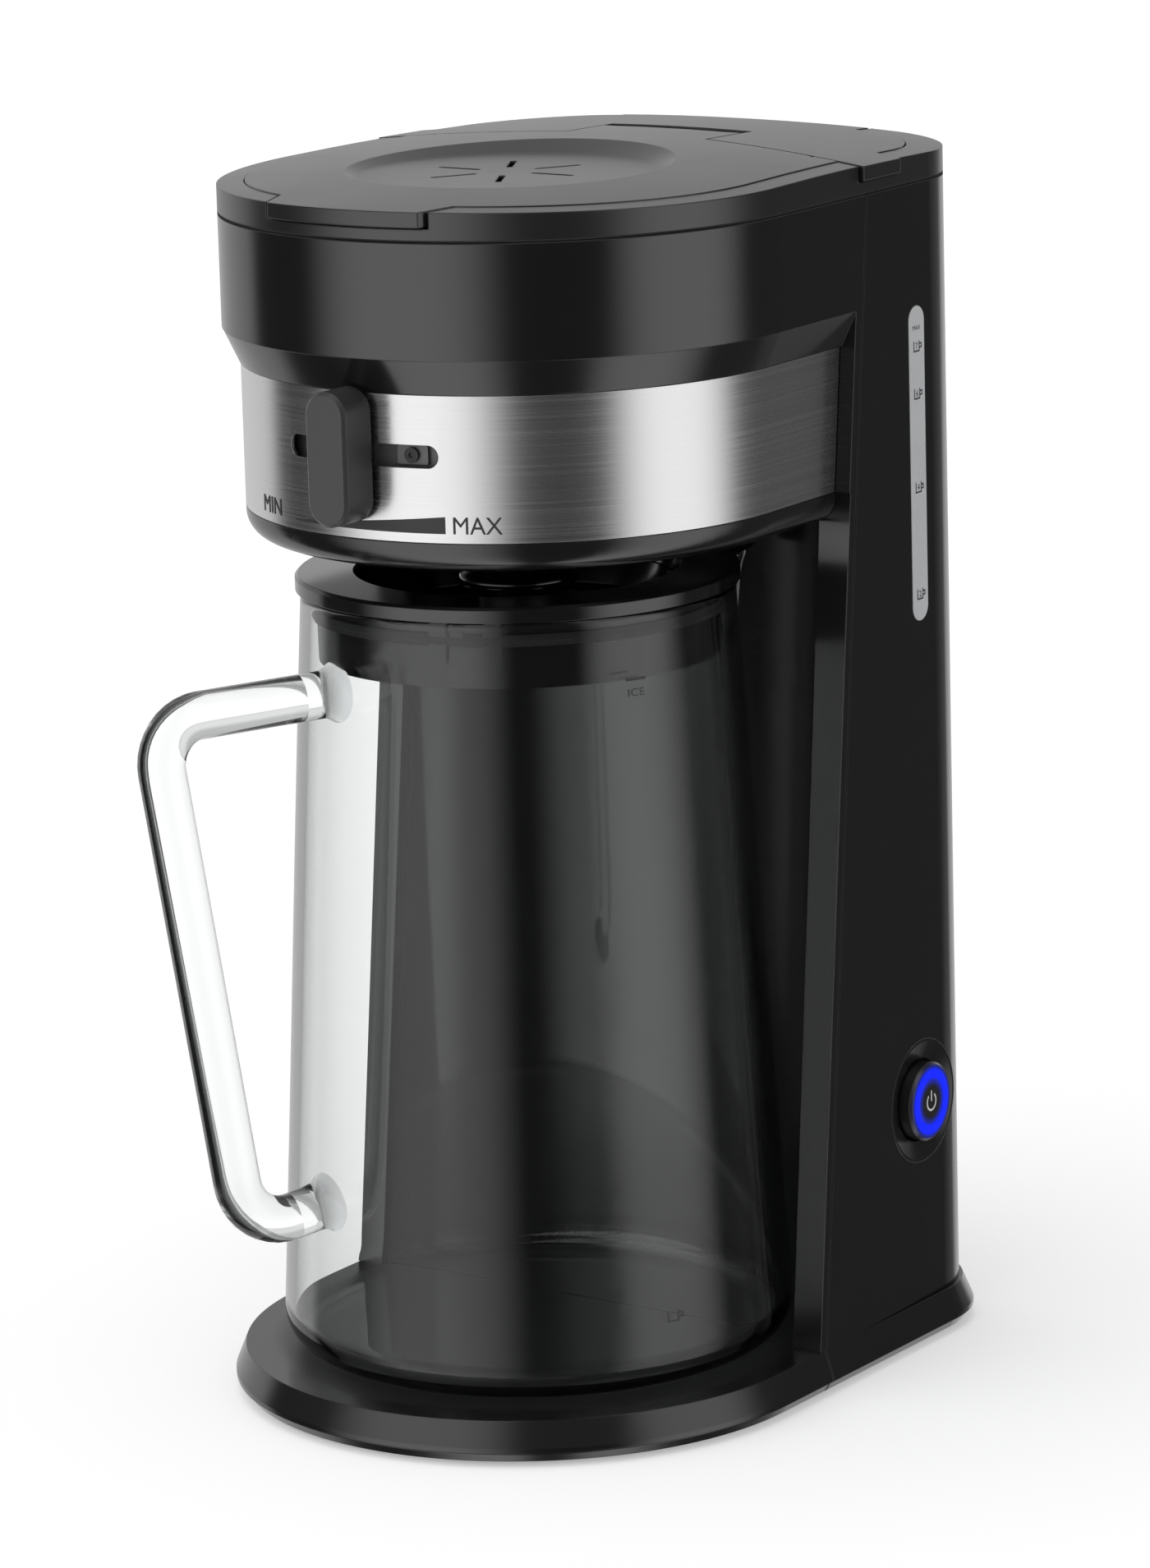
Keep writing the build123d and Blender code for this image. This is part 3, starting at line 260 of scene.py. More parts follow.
def makeFloor():
    deselectAll()
    bpy.ops.mesh.primitive_circle_add(vertices=96, radius=studio["floorRadius"], fill_type="NGON")
    floor = bpy.context.object
    floor.name = "floor"
    mat = bpy.data.materials.new("paperFloor")
    tree = emptyTree(mat)
    out = addNode(tree, "ShaderNodeOutputMaterial")
    paper = addNode(tree, "ShaderNodeBsdfDiffuse", {"Color": (studio["floorTone"],) * 3 + (1,)})
    lift = addNode(tree, "ShaderNodeEmission")
    ray = addNode(tree, "ShaderNodeLightPath").outputs
    shown = calc(tree, "MAXIMUM", ray["Is Camera Ray"], ray["Is Transmission Ray"])
    tree.links.new(calc(tree, "MULTIPLY", shown, studio["floorLift"]), lift.inputs["Strength"])
    both = addNode(tree, "ShaderNodeAddShader")
    wire(tree, paper, "BSDF", both, 0)
    wire(tree, lift, "Emission", both, 1)
    # the floor stays out of reflections that leave through the glass, as it does out of the others
    through = leftByMirror(tree, ray)[1]
    unseen = addNode(tree, "ShaderNodeBsdfTransparent")
    pick = addNode(tree, "ShaderNodeMixShader")
    tree.links.new(through, pick.inputs[0])
    wire(tree, both, "Shader", pick, 1)
    wire(tree, unseen, "BSDF", pick, 2)
    wire(tree, pick, "Shader", out, "Surface")
    floor.data.materials.append(mat)
    floor.visible_glossy = False       # the world's own panels stand in for it in reflections


def makeSun():
    data = bpy.data.lights.new("softSun", "SUN")
    data.energy = studio["sunLevel"]
    data.angle = math.radians(studio["sunSpread"])
    sun = bpy.data.objects.new("softSun", data)
    scene.collection.objects.link(sun)
    sun.rotation_euler = (*(math.radians(a) for a in studio["sunTilt"]), 0)
    sun.visible_glossy = False


makeCamera()
makeWorld()
makeFloor()
makeSun()
scene.view_settings.view_transform = "Standard"
print("stage: studio ready")

# finishes of the moulded and pressed parts; lengths in millimetres
# seam: height of the joint between shell and rim, along which a line of painted shade runs
# split: the slanted joint between the front and rear shells, as y, lean and the height of that y; the painted
# shade runs along it too
# recess: the hollow behind the pitcher, duller than the shell: radii, heights and how much rougher
housingLook = {"tone": 0.0075, "rough": 0.17, "spread": 0.05, "grain": 2600, "depth": 0.012, "round": 0.35,
               "seam": 310.35, "split": (21.4, 0.104, 11.7), "recess": (66.0, 74.0, 224.0, 228.0, 0.22)}
plastics = {
    "housingBlack": housingLook,
    "lidBlack": {"tone": 0.011, "rough": 0.29, "spread": 0.03, "grain": 2600, "depth": 0.008, "round": 0.8,
                 "seam": 310.35},
    "knobGrey": {"tone": 0.03, "rough": 0.42, "spread": 0.05, "grain": 3200, "depth": 0.05, "round": 0.25},
    "carriageGrey": {"tone": 0.11, "rough": 0.4, "spread": 0.05, "grain": 2600, "depth": 0.04, "round": 0.2},
    "pitcherLidBlack": {"tone": 0.006, "rough": 0.12, "spread": 0.04, "grain": 2200, "depth": 0.008,
                        "round": 0.3},
    "innerBlack": {"tone": 0.016, "rough": 0.45, "spread": 0.06, "grain": 1800, "depth": 0.05, "round": 0.25},
    "screwBlack": {"tone": 0.003, "rough": 0.6, "spread": 0.05, "grain": 2600, "depth": 0.02, "round": 0.1},
    "footRubber": {"tone": 0.012, "rough": 0.75, "spread": 0.08, "grain": 1500, "depth": 0.12, "round": 0.3},
}
# the joint widths, colour and roughness set the line of painted shade along the joints
moulding = {"sheen": 1.78, "cloud": 9, "smear": 42, "jointShadeWide": (0.36, 0.62), "jointShadeTone": 0.0008,
            "jointShadeRough": 0.95}


def mouldedPlastic(name, look):
    mat, tree, shader = newMaterial(name)
    tone, middle, half = look["tone"], look["rough"], look["spread"] / 2
    cloud = noiseAt(tree, moulding["cloud"], 3)
    colour = blendTones(tree, cloud, (tone * 0.85,) * 3, (tone * 1.15, tone * 1.15, tone * 1.2))
    grain = noiseAt(tree, look["grain"], 3)
    smear = noiseAt(tree, moulding["smear"], 2)
    mixed = calc(tree, "ADD", calc(tree, "MULTIPLY", grain, 0.5), calc(tree, "MULTIPLY", smear, 0.5))
    rough = midRange(tree, mixed, middle - half, middle + half)
    place = placeIn(tree, "Object")
    axes = axesOf(tree, place)
    if "recess" in look:
        inner, outer, low, high, duller = look["recess"]
        flat = vectorMath(tree, "MULTIPLY", place, (1, 1, 0))["Vector"]
        far = vectorMath(tree, "LENGTH", flat)["Value"]
        below = stretch(tree, axes["Z"], low * mm, high * mm, duller, 0)
        inside = stretch(tree, far, inner * mm, outer * mm, 1, 0, smooth=True)
        rough = calc(tree, "ADD", rough, calc(tree, "MULTIPLY", inside, below))
    if "seam" in look:                 # painted shade: the joints are darkened and dulled where shadow falls in the narrow gap between the parts
        away = calc(tree, "ABSOLUTE", calc(tree, "SUBTRACT", axes["Z"], look["seam"] * mm))
        if "split" in look:
            foot, lean, low = look["split"]
            raised = calc(tree, "MULTIPLY", lean, calc(tree, "SUBTRACT", axes["Z"], low * mm))
            line = calc(tree, "ADD", foot * mm, raised)
            beside = calc(tree, "ABSOLUTE", calc(tree, "SUBTRACT", axes["Y"], line))
            away = calc(tree, "MINIMUM", away, beside)
        near, far = moulding["jointShadeWide"]
        joint = stretch(tree, away, near * mm, far * mm, 1, 0, smooth=True)
        colour = blendTones(tree, joint, colour, (moulding["jointShadeTone"],) * 3)
        rough = calc(tree, "MAXIMUM", rough, calc(tree, "MULTIPLY", joint, moulding["jointShadeRough"]))
    tree.links.new(colour, shader.inputs["Base Color"])
    tree.links.new(rough, shader.inputs["Roughness"])
    roughenNormal(tree, shader, grain, look["depth"], 0.0002, look["round"] * mm, 6)
    shader.inputs["IOR"].default_value = moulding["sheen"]
    return mat


def brushedSteel(name, tone, rough, squash, depth, corner=0.2):
    mat, tree, shader = newMaterial(name)
    shader.inputs["Metallic"].default_value = 1.0
    lines = noiseAt(tree, 1.0, 4, squash)
    wide = noiseAt(tree, 1.0, 2, tuple(v * 0.5 for v in squash))
    both = calc(tree, "ADD", calc(tree, "MULTIPLY", lines, 0.6), calc(tree, "MULTIPLY", wide, 0.4))
    colour = blendTones(tree, midRange(tree, both, 0, 1), (tone * 0.94,) * 3, (tone * 1.05,) * 3)
    tree.links.new(colour, shader.inputs["Base Color"])
    tree.links.new(midRange(tree, both, rough * 0.8, rough * 1.2), shader.inputs["Roughness"])
    roughenNormal(tree, shader, lines, depth, 0.00005, corner * mm)
    return mat


glassLook = {"bend": 1.47, "mirror": 0.12, "ripple": 26, "shade": (0.93, 0.94, 0.94, 1)}


def clearGlass(name, tint, bend):
    mat, tree, shader = newMaterial(name)
    shader.inputs["Transmission Weight"].default_value = 1.0
    shader.inputs["IOR"].default_value = bend
    shader.inputs["Specular IOR Level"].default_value = glassLook["mirror"]
    ripple = noiseAt(tree, glassLook["ripple"], 1)
    colour = blendTones(tree, ripple, tint, tuple(min(1, v * 1.012) for v in tint))
    tree.links.new(colour, shader.inputs["Base Color"])
    tree.links.new(midRange(tree, ripple, 0.0, 0.012), shader.inputs["Roughness"])
    roughenNormal(tree, shader, ripple, 0.05, 0.0006)
    # shadow and diffuse rays pass straight through, so the glass casts only a faint shade
    clear = addNode(tree, "ShaderNodeBsdfTransparent", {"Color": glassLook["shade"]})
    ray = addNode(tree, "ShaderNodeLightPath").outputs
    pick = addNode(tree, "ShaderNodeMixShader")
    passing = calc(tree, "MAXIMUM", ray["Is Shadow Ray"], ray["Is Diffuse Ray"])
    tree.links.new(passing, pick.inputs[0])
    wire(tree, shader, "BSDF", pick, 1)
    wire(tree, clear, "BSDF", pick, 2)
    out = next(n for n in tree.nodes if n.type == "OUTPUT_MATERIAL")
    wire(tree, pick, "Shader", out, "Surface")
    return mat


def cloudyPlastic(name, low, high, rough, through):
    mat, tree, shader = newMaterial(name)
    cloud = noiseAt(tree, 55, 4)
    tree.links.new(blendTones(tree, cloud, low, high), shader.inputs["Base Color"])
    tree.links.new(midRange(tree, cloud, rough - 0.05, rough + 0.05), shader.inputs["Roughness"])
    shader.inputs["Transmission Weight"].default_value = through
    shader.inputs["IOR"].default_value = 1.45
    roughenNormal(tree, shader, noiseAt(tree, 1900, 2), 0.04, 0.0002)
    return mat


def printedInk(name, tone):
    mat, tree, shader = newMaterial(name)
    speck = noiseAt(tree, 5200, 2)
    first = tuple(v * 0.85 for v in tone)
    second = tuple(min(1.0, v * 1.12) for v in tone)
    tree.links.new(blendTones(tree, speck, first, second), shader.inputs["Base Color"])
    tree.links.new(midRange(tree, speck, 0.4, 0.55), shader.inputs["Roughness"])
    return mat


def glowRing(name, colour, level):
    mat, tree, shader = newMaterial(name)
    cloud = noiseAt(tree, 420, 2)
    lit = blendTones(tree, cloud, tuple(v * 0.9 for v in colour), colour)
    unlit = blendTones(tree, cloud, (0, 0.002, 0.12), (0, 0.003, 0.16))
    tree.links.new(unlit, shader.inputs["Base Color"])
    tree.links.new(lit, shader.inputs["Emission Color"])
    tree.links.new(midRange(tree, cloud, 0.3, 0.4), shader.inputs["Roughness"])
    shader.inputs["Emission Strength"].default_value = level
    return mat


def buttonWithPaintedHalo(name, look, glow):
    mat = mouldedPlastic(name, look)
    tree = mat.node_tree
    shader = next(n for n in tree.nodes if n.type == "BSDF_PRINCIPLED")
    # painted light: a faint blue emission around the light ring on the button face stands in for the ring's
    # light falling on the black plastic
    centre = tuple(v * mm for v in glow["centre"])
    away = vectorMath(tree, "SUBTRACT", placeIn(tree, "Object"), centre)["Vector"]
    far = vectorMath(tree, "LENGTH", away)["Value"]
    inner, outer = (stretch(tree, far, glow[side][0] * mm, glow[side][1] * mm, *levels, smooth=True)
                    for side, levels in (("inner", (0, 1)), ("outer", (1, 0))))
    paintedHalo = calc(tree, "POWER", calc(tree, "MULTIPLY", inner, outer), 2)
    tree.links.new(blendTones(tree, paintedHalo, (0, 0, 0), glow["colour"]), shader.inputs["Emission Color"])
    shader.inputs["Emission Strength"].default_value = glow["level"]
    return mat


meshLook = {"around": 420, "up": 11000, "gap": (0.05, 0.05, 0.05), "wire": (0.66, 0.66, 0.65)}


def wovenMesh(name):
    mat, tree, shader = newMaterial(name)
    shader.inputs["Metallic"].default_value = 1.0
    axes = axesOf(tree, placeIn(tree, "Object"))
    swing = calc(tree, "ARCTAN2", axes["X"], axes["Y"])
    warp = calc(tree, "SINE", calc(tree, "MULTIPLY", swing, meshLook["around"]))
    weft = calc(tree, "SINE", calc(tree, "MULTIPLY", axes["Z"], meshLook["up"]))
    weave = calc(tree, "MAXIMUM", warp, weft)
    colour = blendTones(tree, stretch(tree, weave, -0.2, 0.8, 0, 1), meshLook["gap"], meshLook["wire"])
    tree.links.new(colour, shader.inputs["Base Color"])
    tree.links.new(stretch(tree, weave, -1, 1, 0.5, 0.3), shader.inputs["Roughness"])
    roughenNormal(tree, shader, weave, 0.5, 0.0002)
    return mat


boardLook = {"cells": 260.0, "plain": (0.012, 0.09, 0.035), "trace": (0.03, 0.2, 0.07)}


def circuitBoard(name):
    mat, tree, shader = newMaterial(name)
    cells = addNode(tree, "ShaderNodeTexVoronoi", {"Scale": boardLook["cells"]}, distance="CHEBYCHEV")
    tree.links.new(placeIn(tree, "Object"), cells.inputs["Vector"])
    trace = stretch(tree, cells.outputs["Distance"], 0.32, 0.36, 0, 1)
    colour = blendTones(tree, trace, boardLook["plain"], boardLook["trace"])
    tree.links.new(colour, shader.inputs["Base Color"])
    tree.links.new(midRange(tree, noiseAt(tree, 600, 2), 0.3, 0.45), shader.inputs["Roughness"])
    return mat


finishes = {name: mouldedPlastic(name, look) for name, look in plastics.items()}
finishes["bandSteel"] = brushedSteel("bandSteel", 0.76, 0.25, (4, 4, 5200), 0.05)
finishes["pinSteel"] = brushedSteel("pinSteel", 0.6, 0.3, (900, 900, 900), 0.08)
finishes["filterMesh"] = wovenMesh("filterMesh")
finishes["pitcherClear"] = clearGlass("pitcherClear", (0.975, 0.985, 0.985), glassLook["bend"])
finishes["jointClear"] = clearGlass("jointClear", (0.9, 0.91, 0.91), 1.07)
finishes["gaugeClear"] = cloudyPlastic("gaugeClear", (0.6, 0.61, 0.62), (0.68, 0.69, 0.7), 0.3, 0.0)
finishes["tankClear"] = cloudyPlastic("tankClear", (0.5, 0.53, 0.56), (0.62, 0.65, 0.68), 0.2, 0.55)
finishes["siliconeSoft"] = cloudyPlastic("siliconeSoft", (0.42, 0.42, 0.41), (0.55, 0.55, 0.53), 0.5, 0.2)
finishes["blueGlow"] = glowRing("blueGlow", (0.0, 0.014, 1.0), 1.0)
# the button's painted blue halo: centre, inner and outer edge ranges, colour and level
finishes["buttonBlack"] = buttonWithPaintedHalo("buttonBlack", housingLook | {"rough": 0.3}, {
    "centre": (76.77, 73.7, 66.2), "inner": (3.4, 6.4), "outer": (8.6, 10.8),
    "colour": (0.0, 0.012, 0.5), "level": 1.0})
finishes["boardGreen"] = circuitBoard("boardGreen")
finishes["darkPrint"] = printedInk("darkPrint", (0.035, 0.035, 0.037))
finishes["whitePrint"] = printedInk("whitePrint", (0.85, 0.85, 0.86))

dressing = {
    "housingBlack": ("base", "bottom_cover", "front_housing", "rear_housing", "head_underside",
                     "button_bezel"),
    "buttonBlack": ("power_button",),
    "lidBlack": ("top_rim", "front_lid", "rear_lid"),
    "knobGrey": ("selector_knob",),
    "carriageGrey": ("selector_carriage",),
    "pitcherLidBlack": ("pitcher_lid", "pitcher_dome"),
    "innerBlack": ("brew_chamber", "shower_plate", "brew_basket", "drip_valve", "tank_outlet", "pump",
                   "button_switch"),
    "screwBlack": ("selector_screw",),
    "footRubber": ("rubber_feet", "cord_gland", "pitcher_seal"),
    "bandSteel": ("steel_band",),
    "pinSteel": ("front_hinge_pin", "rear_hinge_pin", "base_screws", "housing_screws", "drip_spring"),
    "filterMesh": ("mesh_filter",),
    "pitcherClear": ("pitcher_glass", "pitcher_handle"),
    "gaugeClear": ("gauge_window",),
    "tankClear": ("water_tank",),
    "siliconeSoft": ("drip_seal", "suction_hose", "outlet_pipe"),
    "blueGlow": ("light_ring",),
    "boardGreen": ("control_board",),
}
for finish, dressed in dressing.items():
    for node in dressed:
        data = nodes[node].data
        data.materials.clear()
        data.materials.append(finishes[finish])
print("stage: finishes on", sum(len(d) for d in dressing.values()), "nodes")

# pitcher glass, turned round its axis and drawn out to a spout; outside: height and radius pairs
# spoutOuter and spoutInner: height, reach and half width at the root; spoutTips: half widths at the end
pitcher = {
    "foot": 11.65, "footRound": 8.8, "brim": 212.5, "wall": 2.8, "floor": 4.0, "innerRound": 6.5,
    "outside": ((22.7, 66.85), (49.7, 65.3), (103.0, 62.3), (155.6, 59.35), (194.7, 57.2), (209.0, 56.2)),
    "spoutTurn": 70.5,
    "spoutOuter": ((186.5, 57.0, 9.0), (192.5, 69.5, 13.0), (206.0, 71.0, 16.0), (212.5, 73.5, 18.0)),
    "spoutInner": ((188.5, 54.0, 7.0), (193.5, 67.2, 10.6), (206.0, 68.8, 13.4), (213.0, 71.4, 15.6)),
    "spoutTips": (2.5, 1.4), "spoutRoot": 40.0, "spoutSpread": 40,
    "bodyRings": (24, 182, 20), "neckStart": 184, "neckRings": 18, "steps": 180,
}
profileFit = np.polyfit([z for z, r in pitcher["outside"]], [r for z, r in pitcher["outside"]], 3)


def glassRadius(z):
    return float(np.polyval(profileFit, z))


def glassProfile():
    p = pitcher
    rimRound = p["wall"] / 2
    heights = list(np.linspace(*p["bodyRings"]))
    heights += list(np.linspace(p["neckStart"], p["brim"] - rimRound, p["neckRings"]))
    footR = glassRadius(p["foot"] + p["footRound"])
    outer = [(0.0, p["foot"]), (footR * 0.4, p["foot"]), (footR * 0.7, p["foot"])]
    for a in range(0, 91, 15):
        swing = math.radians(a)
        outer.append((footR - p["footRound"] * (1 - math.sin(swing)),
                      p["foot"] + p["footRound"] * (1 - math.cos(swing))))
    outer += [(glassRadius(z), z) for z in heights]
    neck = glassRadius(p["brim"] - rimRound)
    for a in (30, 60, 90, 120, 150):
        swing = math.radians(a)
        outer.append((neck - rimRound + rimRound * math.cos(swing),
                      p["brim"] - rimRound + rimRound * math.sin(swing)))
    inner = [(glassRadius(z) - p["wall"], z) for z in reversed(heights)]
    low = p["foot"] + p["floor"]
    innerR = footR - p["wall"]
    for a in range(90, -1, -15):
        swing = math.radians(a)
        inner.append((innerR - p["innerRound"] * (1 - math.sin(swing)),
                      low + p["innerRound"] * (1 - math.cos(swing))))
    inner += [(innerR * 0.6, low), (innerR * 0.3, low), (0.0, low)]
    return outer, inner


def spoutReach(sections, tip, x, y, z):
    heights = [s[0] for s in sections]
    if z < heights[0]:
        return 0.0
    reach = np.interp(z, heights, [s[1] for s in sections])
    half = np.interp(z, heights, [s[2] for s in sections])
    turn = math.radians(pitcher["spoutTurn"])
    along = x * math.cos(turn) + y * math.sin(turn)
    across = abs(y * math.cos(turn) - x * math.sin(turn))
    swing = math.atan2(across, along)
    if abs(swing) > math.radians(pitcher["spoutSpread"]):
        return 0.0
    root = pitcher["spoutRoot"]
    slope = (tip - half) / (reach - root)
    side = (half - root * slope) / max(math.sin(swing) - slope * math.cos(swing), 1e-6)
    return min(side, reach / math.cos(swing))


def makePitcherGlass():
    p = pitcher
    outer, inner = glassProfile()
    line = outer + inner
    data = bpy.data.meshes.new("pitcherGlass")
    data.from_pydata([(r * mm, 0, z * mm) for r, z in line], [(i, i + 1) for i in range(len(line) - 1)], [])
    glass = bpy.data.objects.new("pitcherGlass", data)
    scene.collection.objects.link(glass)
    pickOnly(glass)
    bpy.ops.object.mode_set(mode="EDIT")
    bpy.ops.mesh.select_all(action="SELECT")
    bpy.ops.mesh.spin(steps=p["steps"], angle=math.tau, center=(0, 0, 0), axis=(0, 0, 1))
    bpy.ops.object.mode_set(mode="OBJECT")
    weldActive()
    for v in data.vertices:
        x, y, z = (c / mm for c in v.co)
        r = math.hypot(x, y)
        if z < p["neckStart"] or r < p["spoutRoot"]:
            continue
        neck = glassRadius(min(z, p["brim"] - p["wall"] / 2))
        depth = (neck - r) / p["wall"]           # 0 on the outside wall, 1 on the inside wall
        out, inn = (spoutReach(p[side], tip, x, y, z)
                    for side, tip in zip(("spoutOuter", "spoutInner"), p["spoutTips"]))
        outR, inR = max(neck, out), max(neck - p["wall"], inn)
        grown = outR + (inR - outR) * min(max(depth, 0), 1)
        v.co.x *= grown / r
        v.co.y *= grown / r
    smooth = glass.modifiers.new("smooth", "SUBSURF")
    smooth.levels = smooth.render_levels = 1
    bpy.ops.object.modifier_apply(modifier="smooth")
    bpy.ops.object.shade_smooth()
    data.materials.append(finishes["pitcherClear"])
    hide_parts("pitcher_glass")
    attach(glass, "pitcher")


# handle, one bent glass rod fused to the wall at both ends; corners are radius and height pairs
# the first and last are moved to the wall, which the last meets at the height of landing
rod = {
    "turn": 19.5, "radius": 6.1, "flare": 7.9, "flareLength": 5.0, "sink": 0.3, "joint": 7.0,
    "corners": ((54.0, 191.5), (111.4, 191.5), (101.0, 125.0), (90.1, 55.0), (60.0, 59.3)),
    "bends": (0, 11.5, 0, 14.5, 0), "landing": 58.5, "step": 1.5, "sharpAngle": 50,
}


def roundedPath(corners, bends, steps=10):
    path = []
    for i, (corner, bend) in enumerate(zip(corners, bends)):
        here = Vector(corner)
        if not bend:
            path.append(here)
            continue
        before = (Vector(corners[i - 1]) - here).normalized()
        after = (Vector(corners[i + 1]) - here).normalized()
        half = before.angle(after) / 2
        centre = here + (before + after).normalized() * (bend / math.sin(half))
        start = here + before * (bend / math.tan(half)) - centre
        end = here + after * (bend / math.tan(half)) - centre
        swing = math.atan2(start.x * end.y - start.y * end.x, start.dot(end))
        for k in range(steps + 1):
            path.append(centre + Matrix.Rotation(swing * k / steps, 2) @ start)
    return path


def makeHandle():
    corners = list(rod["corners"])
    corners[0] = (glassRadius(corners[0][1]) - rod["sink"], corners[0][1])
    lean = Vector(corners[4]) - Vector(corners[3])
    share = (glassRadius(rod["landing"]) - rod["sink"] - corners[3][0]) / lean.x
    corners[4] = tuple(Vector(corners[3]) + lean * share)
    turned = roundedPath(corners, rod["bends"])
    fine = []
    for a, b in zip(turned, turned[1:]):
        pieces = max(1, int((b - a).length / rod["step"]))
        fine += [a.lerp(b, k / pieces) for k in range(pieces)]
    fine.append(turned[-1])
    walked = [0.0]
    for a, b in zip(fine, fine[1:]):
        walked.append(walked[-1] + (b - a).length)
    turn = math.radians(rod["turn"])
    curve = bpy.data.curves.new("pitcherHandle", "CURVE")
    curve.dimensions = "3D"
    spline = curve.splines.new("POLY")
    spline.points.add(len(fine) - 1)
    for point, spot, far in zip(spline.points, fine, walked):
        r, z = spot
        point.co = (-math.sin(turn) * r * mm, -math.cos(turn) * r * mm, z * mm, 1)
        near = min(far, walked[-1] - far)
        swell = max(0.0, 1 - near / rod["flareLength"]) ** 2
        point.radius = 1 + (rod["flare"] / rod["radius"] - 1) * swell
    curve.bevel_depth = rod["radius"] * mm
    curve.bevel_resolution = 10
    curve.use_fill_caps = True
    handle = bpy.data.objects.new("pitcherHandle", curve)
    scene.collection.objects.link(handle)
    pickOnly(handle)
    bpy.ops.object.convert(target="MESH")
    handle = bpy.context.object
    weldActive()
    bpy.ops.object.shade_smooth_by_angle(angle=math.radians(rod["sharpAngle"]))
    handle.data.materials.clear()
    handle.data.materials.append(finishes["pitcherClear"])
    handle.data.materials.append(finishes["jointClear"])
    for face in handle.data.polygons:      # the ends, fused to the wall, bend light less
        r, z = math.hypot(face.center.x, face.center.y) / mm, face.center.z / mm
        face.material_index = int(r < glassRadius(z) + rod["joint"])
    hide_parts("pitcher_handle")
    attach(handle, "pitcher")


makePitcherGlass()
makeHandle()
print("stage: pitcher blown")


# prints: each is drawn flat in millimetres, x to the right and y up, then laid on its surface
# side: how far the side wall leans from straight ahead, and a point on it
surfaces = {"band": 72.5, "bandCentre": 5.5, "glass": 60.0, "skirt": 52.0, "sideLean": 2.4,
            "side": (76.932, 8.724)}


def onRound(turn, r, centre, height):
    return (r * math.sin(turn) * mm, (centre - r * math.cos(turn)) * mm, height * mm)


def onBand(x, y, lift):
    return onRound(x / surfaces["band"], surfaces["band"] + lift, surfaces["bandCentre"], y)


def onGlass(x, y, lift):
    return onRound(x / surfaces["glass"], glassRadius(y) + lift, 0, y)


def onSkirt(x, y, lift):
    return onRound(x / surfaces["skirt"], surfaces["skirt"] + lift, 0, y)


def onSide(x, y, lift):
    lean = math.radians(surfaces["sideLean"])
    out, rear = Vector((math.cos(lean), math.sin(lean))), Vector((-math.sin(lean), math.cos(lean)))
    across, back = surfaces["side"]
    start = Vector((across + back * math.tan(lean), 0.0))
    spot = start + rear * (x / math.cos(lean)) + out * lift
    return (spot.x * mm, spot.y * mm, y * mm)


def alongArc(turn, surface):
    return math.radians(turn) * surfaces[surface]


def layOn(piece, surface, lift, shift=(0, 0)):
    for v in piece.data.vertices:
        v.co = surface(v.co.x + shift[0], v.co.y + shift[1], lift + v.co.z)


def drawWord(name, word, height, width=None):
    deselectAll()
    bpy.ops.object.text_add()
    text = bpy.context.object
    text.name = name
    text.data.body = word
    text.data.resolution_u = 6
    bpy.ops.object.convert(target="MESH")
    text = bpy.context.object
    xs = [v.co.x for v in text.data.vertices]
    ys = [v.co.y for v in text.data.vertices]
    tall = height / (max(ys) - min(ys))
    wide = width / (max(xs) - min(xs)) if width else tall
    for v in text.data.vertices:
        v.co.x = (v.co.x - (min(xs) + max(xs)) / 2) * wide
        v.co.y = (v.co.y - (min(ys) + max(ys)) / 2) * tall
    return text


def drawPanel(name, width, height, across=1):
    deselectAll()
    bpy.ops.mesh.primitive_grid_add(x_subdivisions=across, y_subdivisions=1, size=1)
    panel = bpy.context.object
    panel.name = name
    for v in panel.data.vertices:
        v.co.x *= width
        v.co.y *= height
    return panel


def joined(parts):
    pickOnly(*parts)
    bpy.ops.object.join()
    return bpy.context.object


def finishPrint(parts, name, finish, body):
    whole = joined(parts)
    whole.name = name
    whole.data.materials.clear()
    whole.data.materials.append(finishes[finish])
    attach(whole, body)


# words and wedge on the band: turn of the middle and width of each word, then the wedge's two ends
bandPrint = {"low": 237.35, "high": 241.6, "lift": 0.1, "MIN": (-27.0, 10.0), "MAX": (25.8, 12.4),
             "wedge": (-17.7, 19.3), "thin": 0.25}


def makeBandPrint():
    b = bandPrint
    middle, tall = (b["low"] + b["high"]) / 2, b["high"] - b["low"]
    parts = []
    for word in ("MIN", "MAX"):
        turn, wide = b[word]
        text = drawWord("strength" + word.title(), word, tall, wide)
        layOn(text, onBand, b["lift"], (alongArc(turn, "band"), middle))
        parts.append(text)
    start, end = (alongArc(turn, "band") for turn in b["wedge"])
    wedge = drawPanel("strengthWedge", end - start, 1.0, 44)
    for v in wedge.data.vertices:
        share = (v.co.x / (end - start)) + 0.5
        v.co.y = (v.co.y + 0.5) * (b["thin"] + (tall - b["thin"]) * share)
    layOn(wedge, onBand, b["lift"], ((start + end) / 2, b["low"]))
    parts.append(wedge)
    finishPrint(parts, "strengthMarks", "darkPrint", "housing")


# a cup with its ear, in shares of its size: x, y, width and height of each bar
cupBars = ((-0.42, 0.05, 0.09, 0.62), (0.22, 0.05, 0.09, 0.62), (-0.1, -0.27, 0.72, 0.09),
           (0.37, 0.18, 0.26, 0.09), (0.37, -0.06, 0.26, 0.09), (0.48, 0.06, 0.09, 0.3))


def drawCup(name, size):
    bars = []
    for x, y, wide, tall in cupBars:
        bar = drawPanel(name, size * wide, size * tall)
        for v in bar.data.vertices:
            v.co.x += x * size
            v.co.y += y * size
        bars.append(bar)
    return joined(bars)


# ice line with its word, and a cup low on the glass: turns, heights and sizes
glassPrint = {"lift": 0.08, "turn": 66.2, "lineHeight": 196.2, "line": (6.2, 0.7), "wordHeight": 192.9,
              "word": (2.0, 5.0), "cupTurn": 67.3, "cupHeight": 31.4, "cup": 4.4}


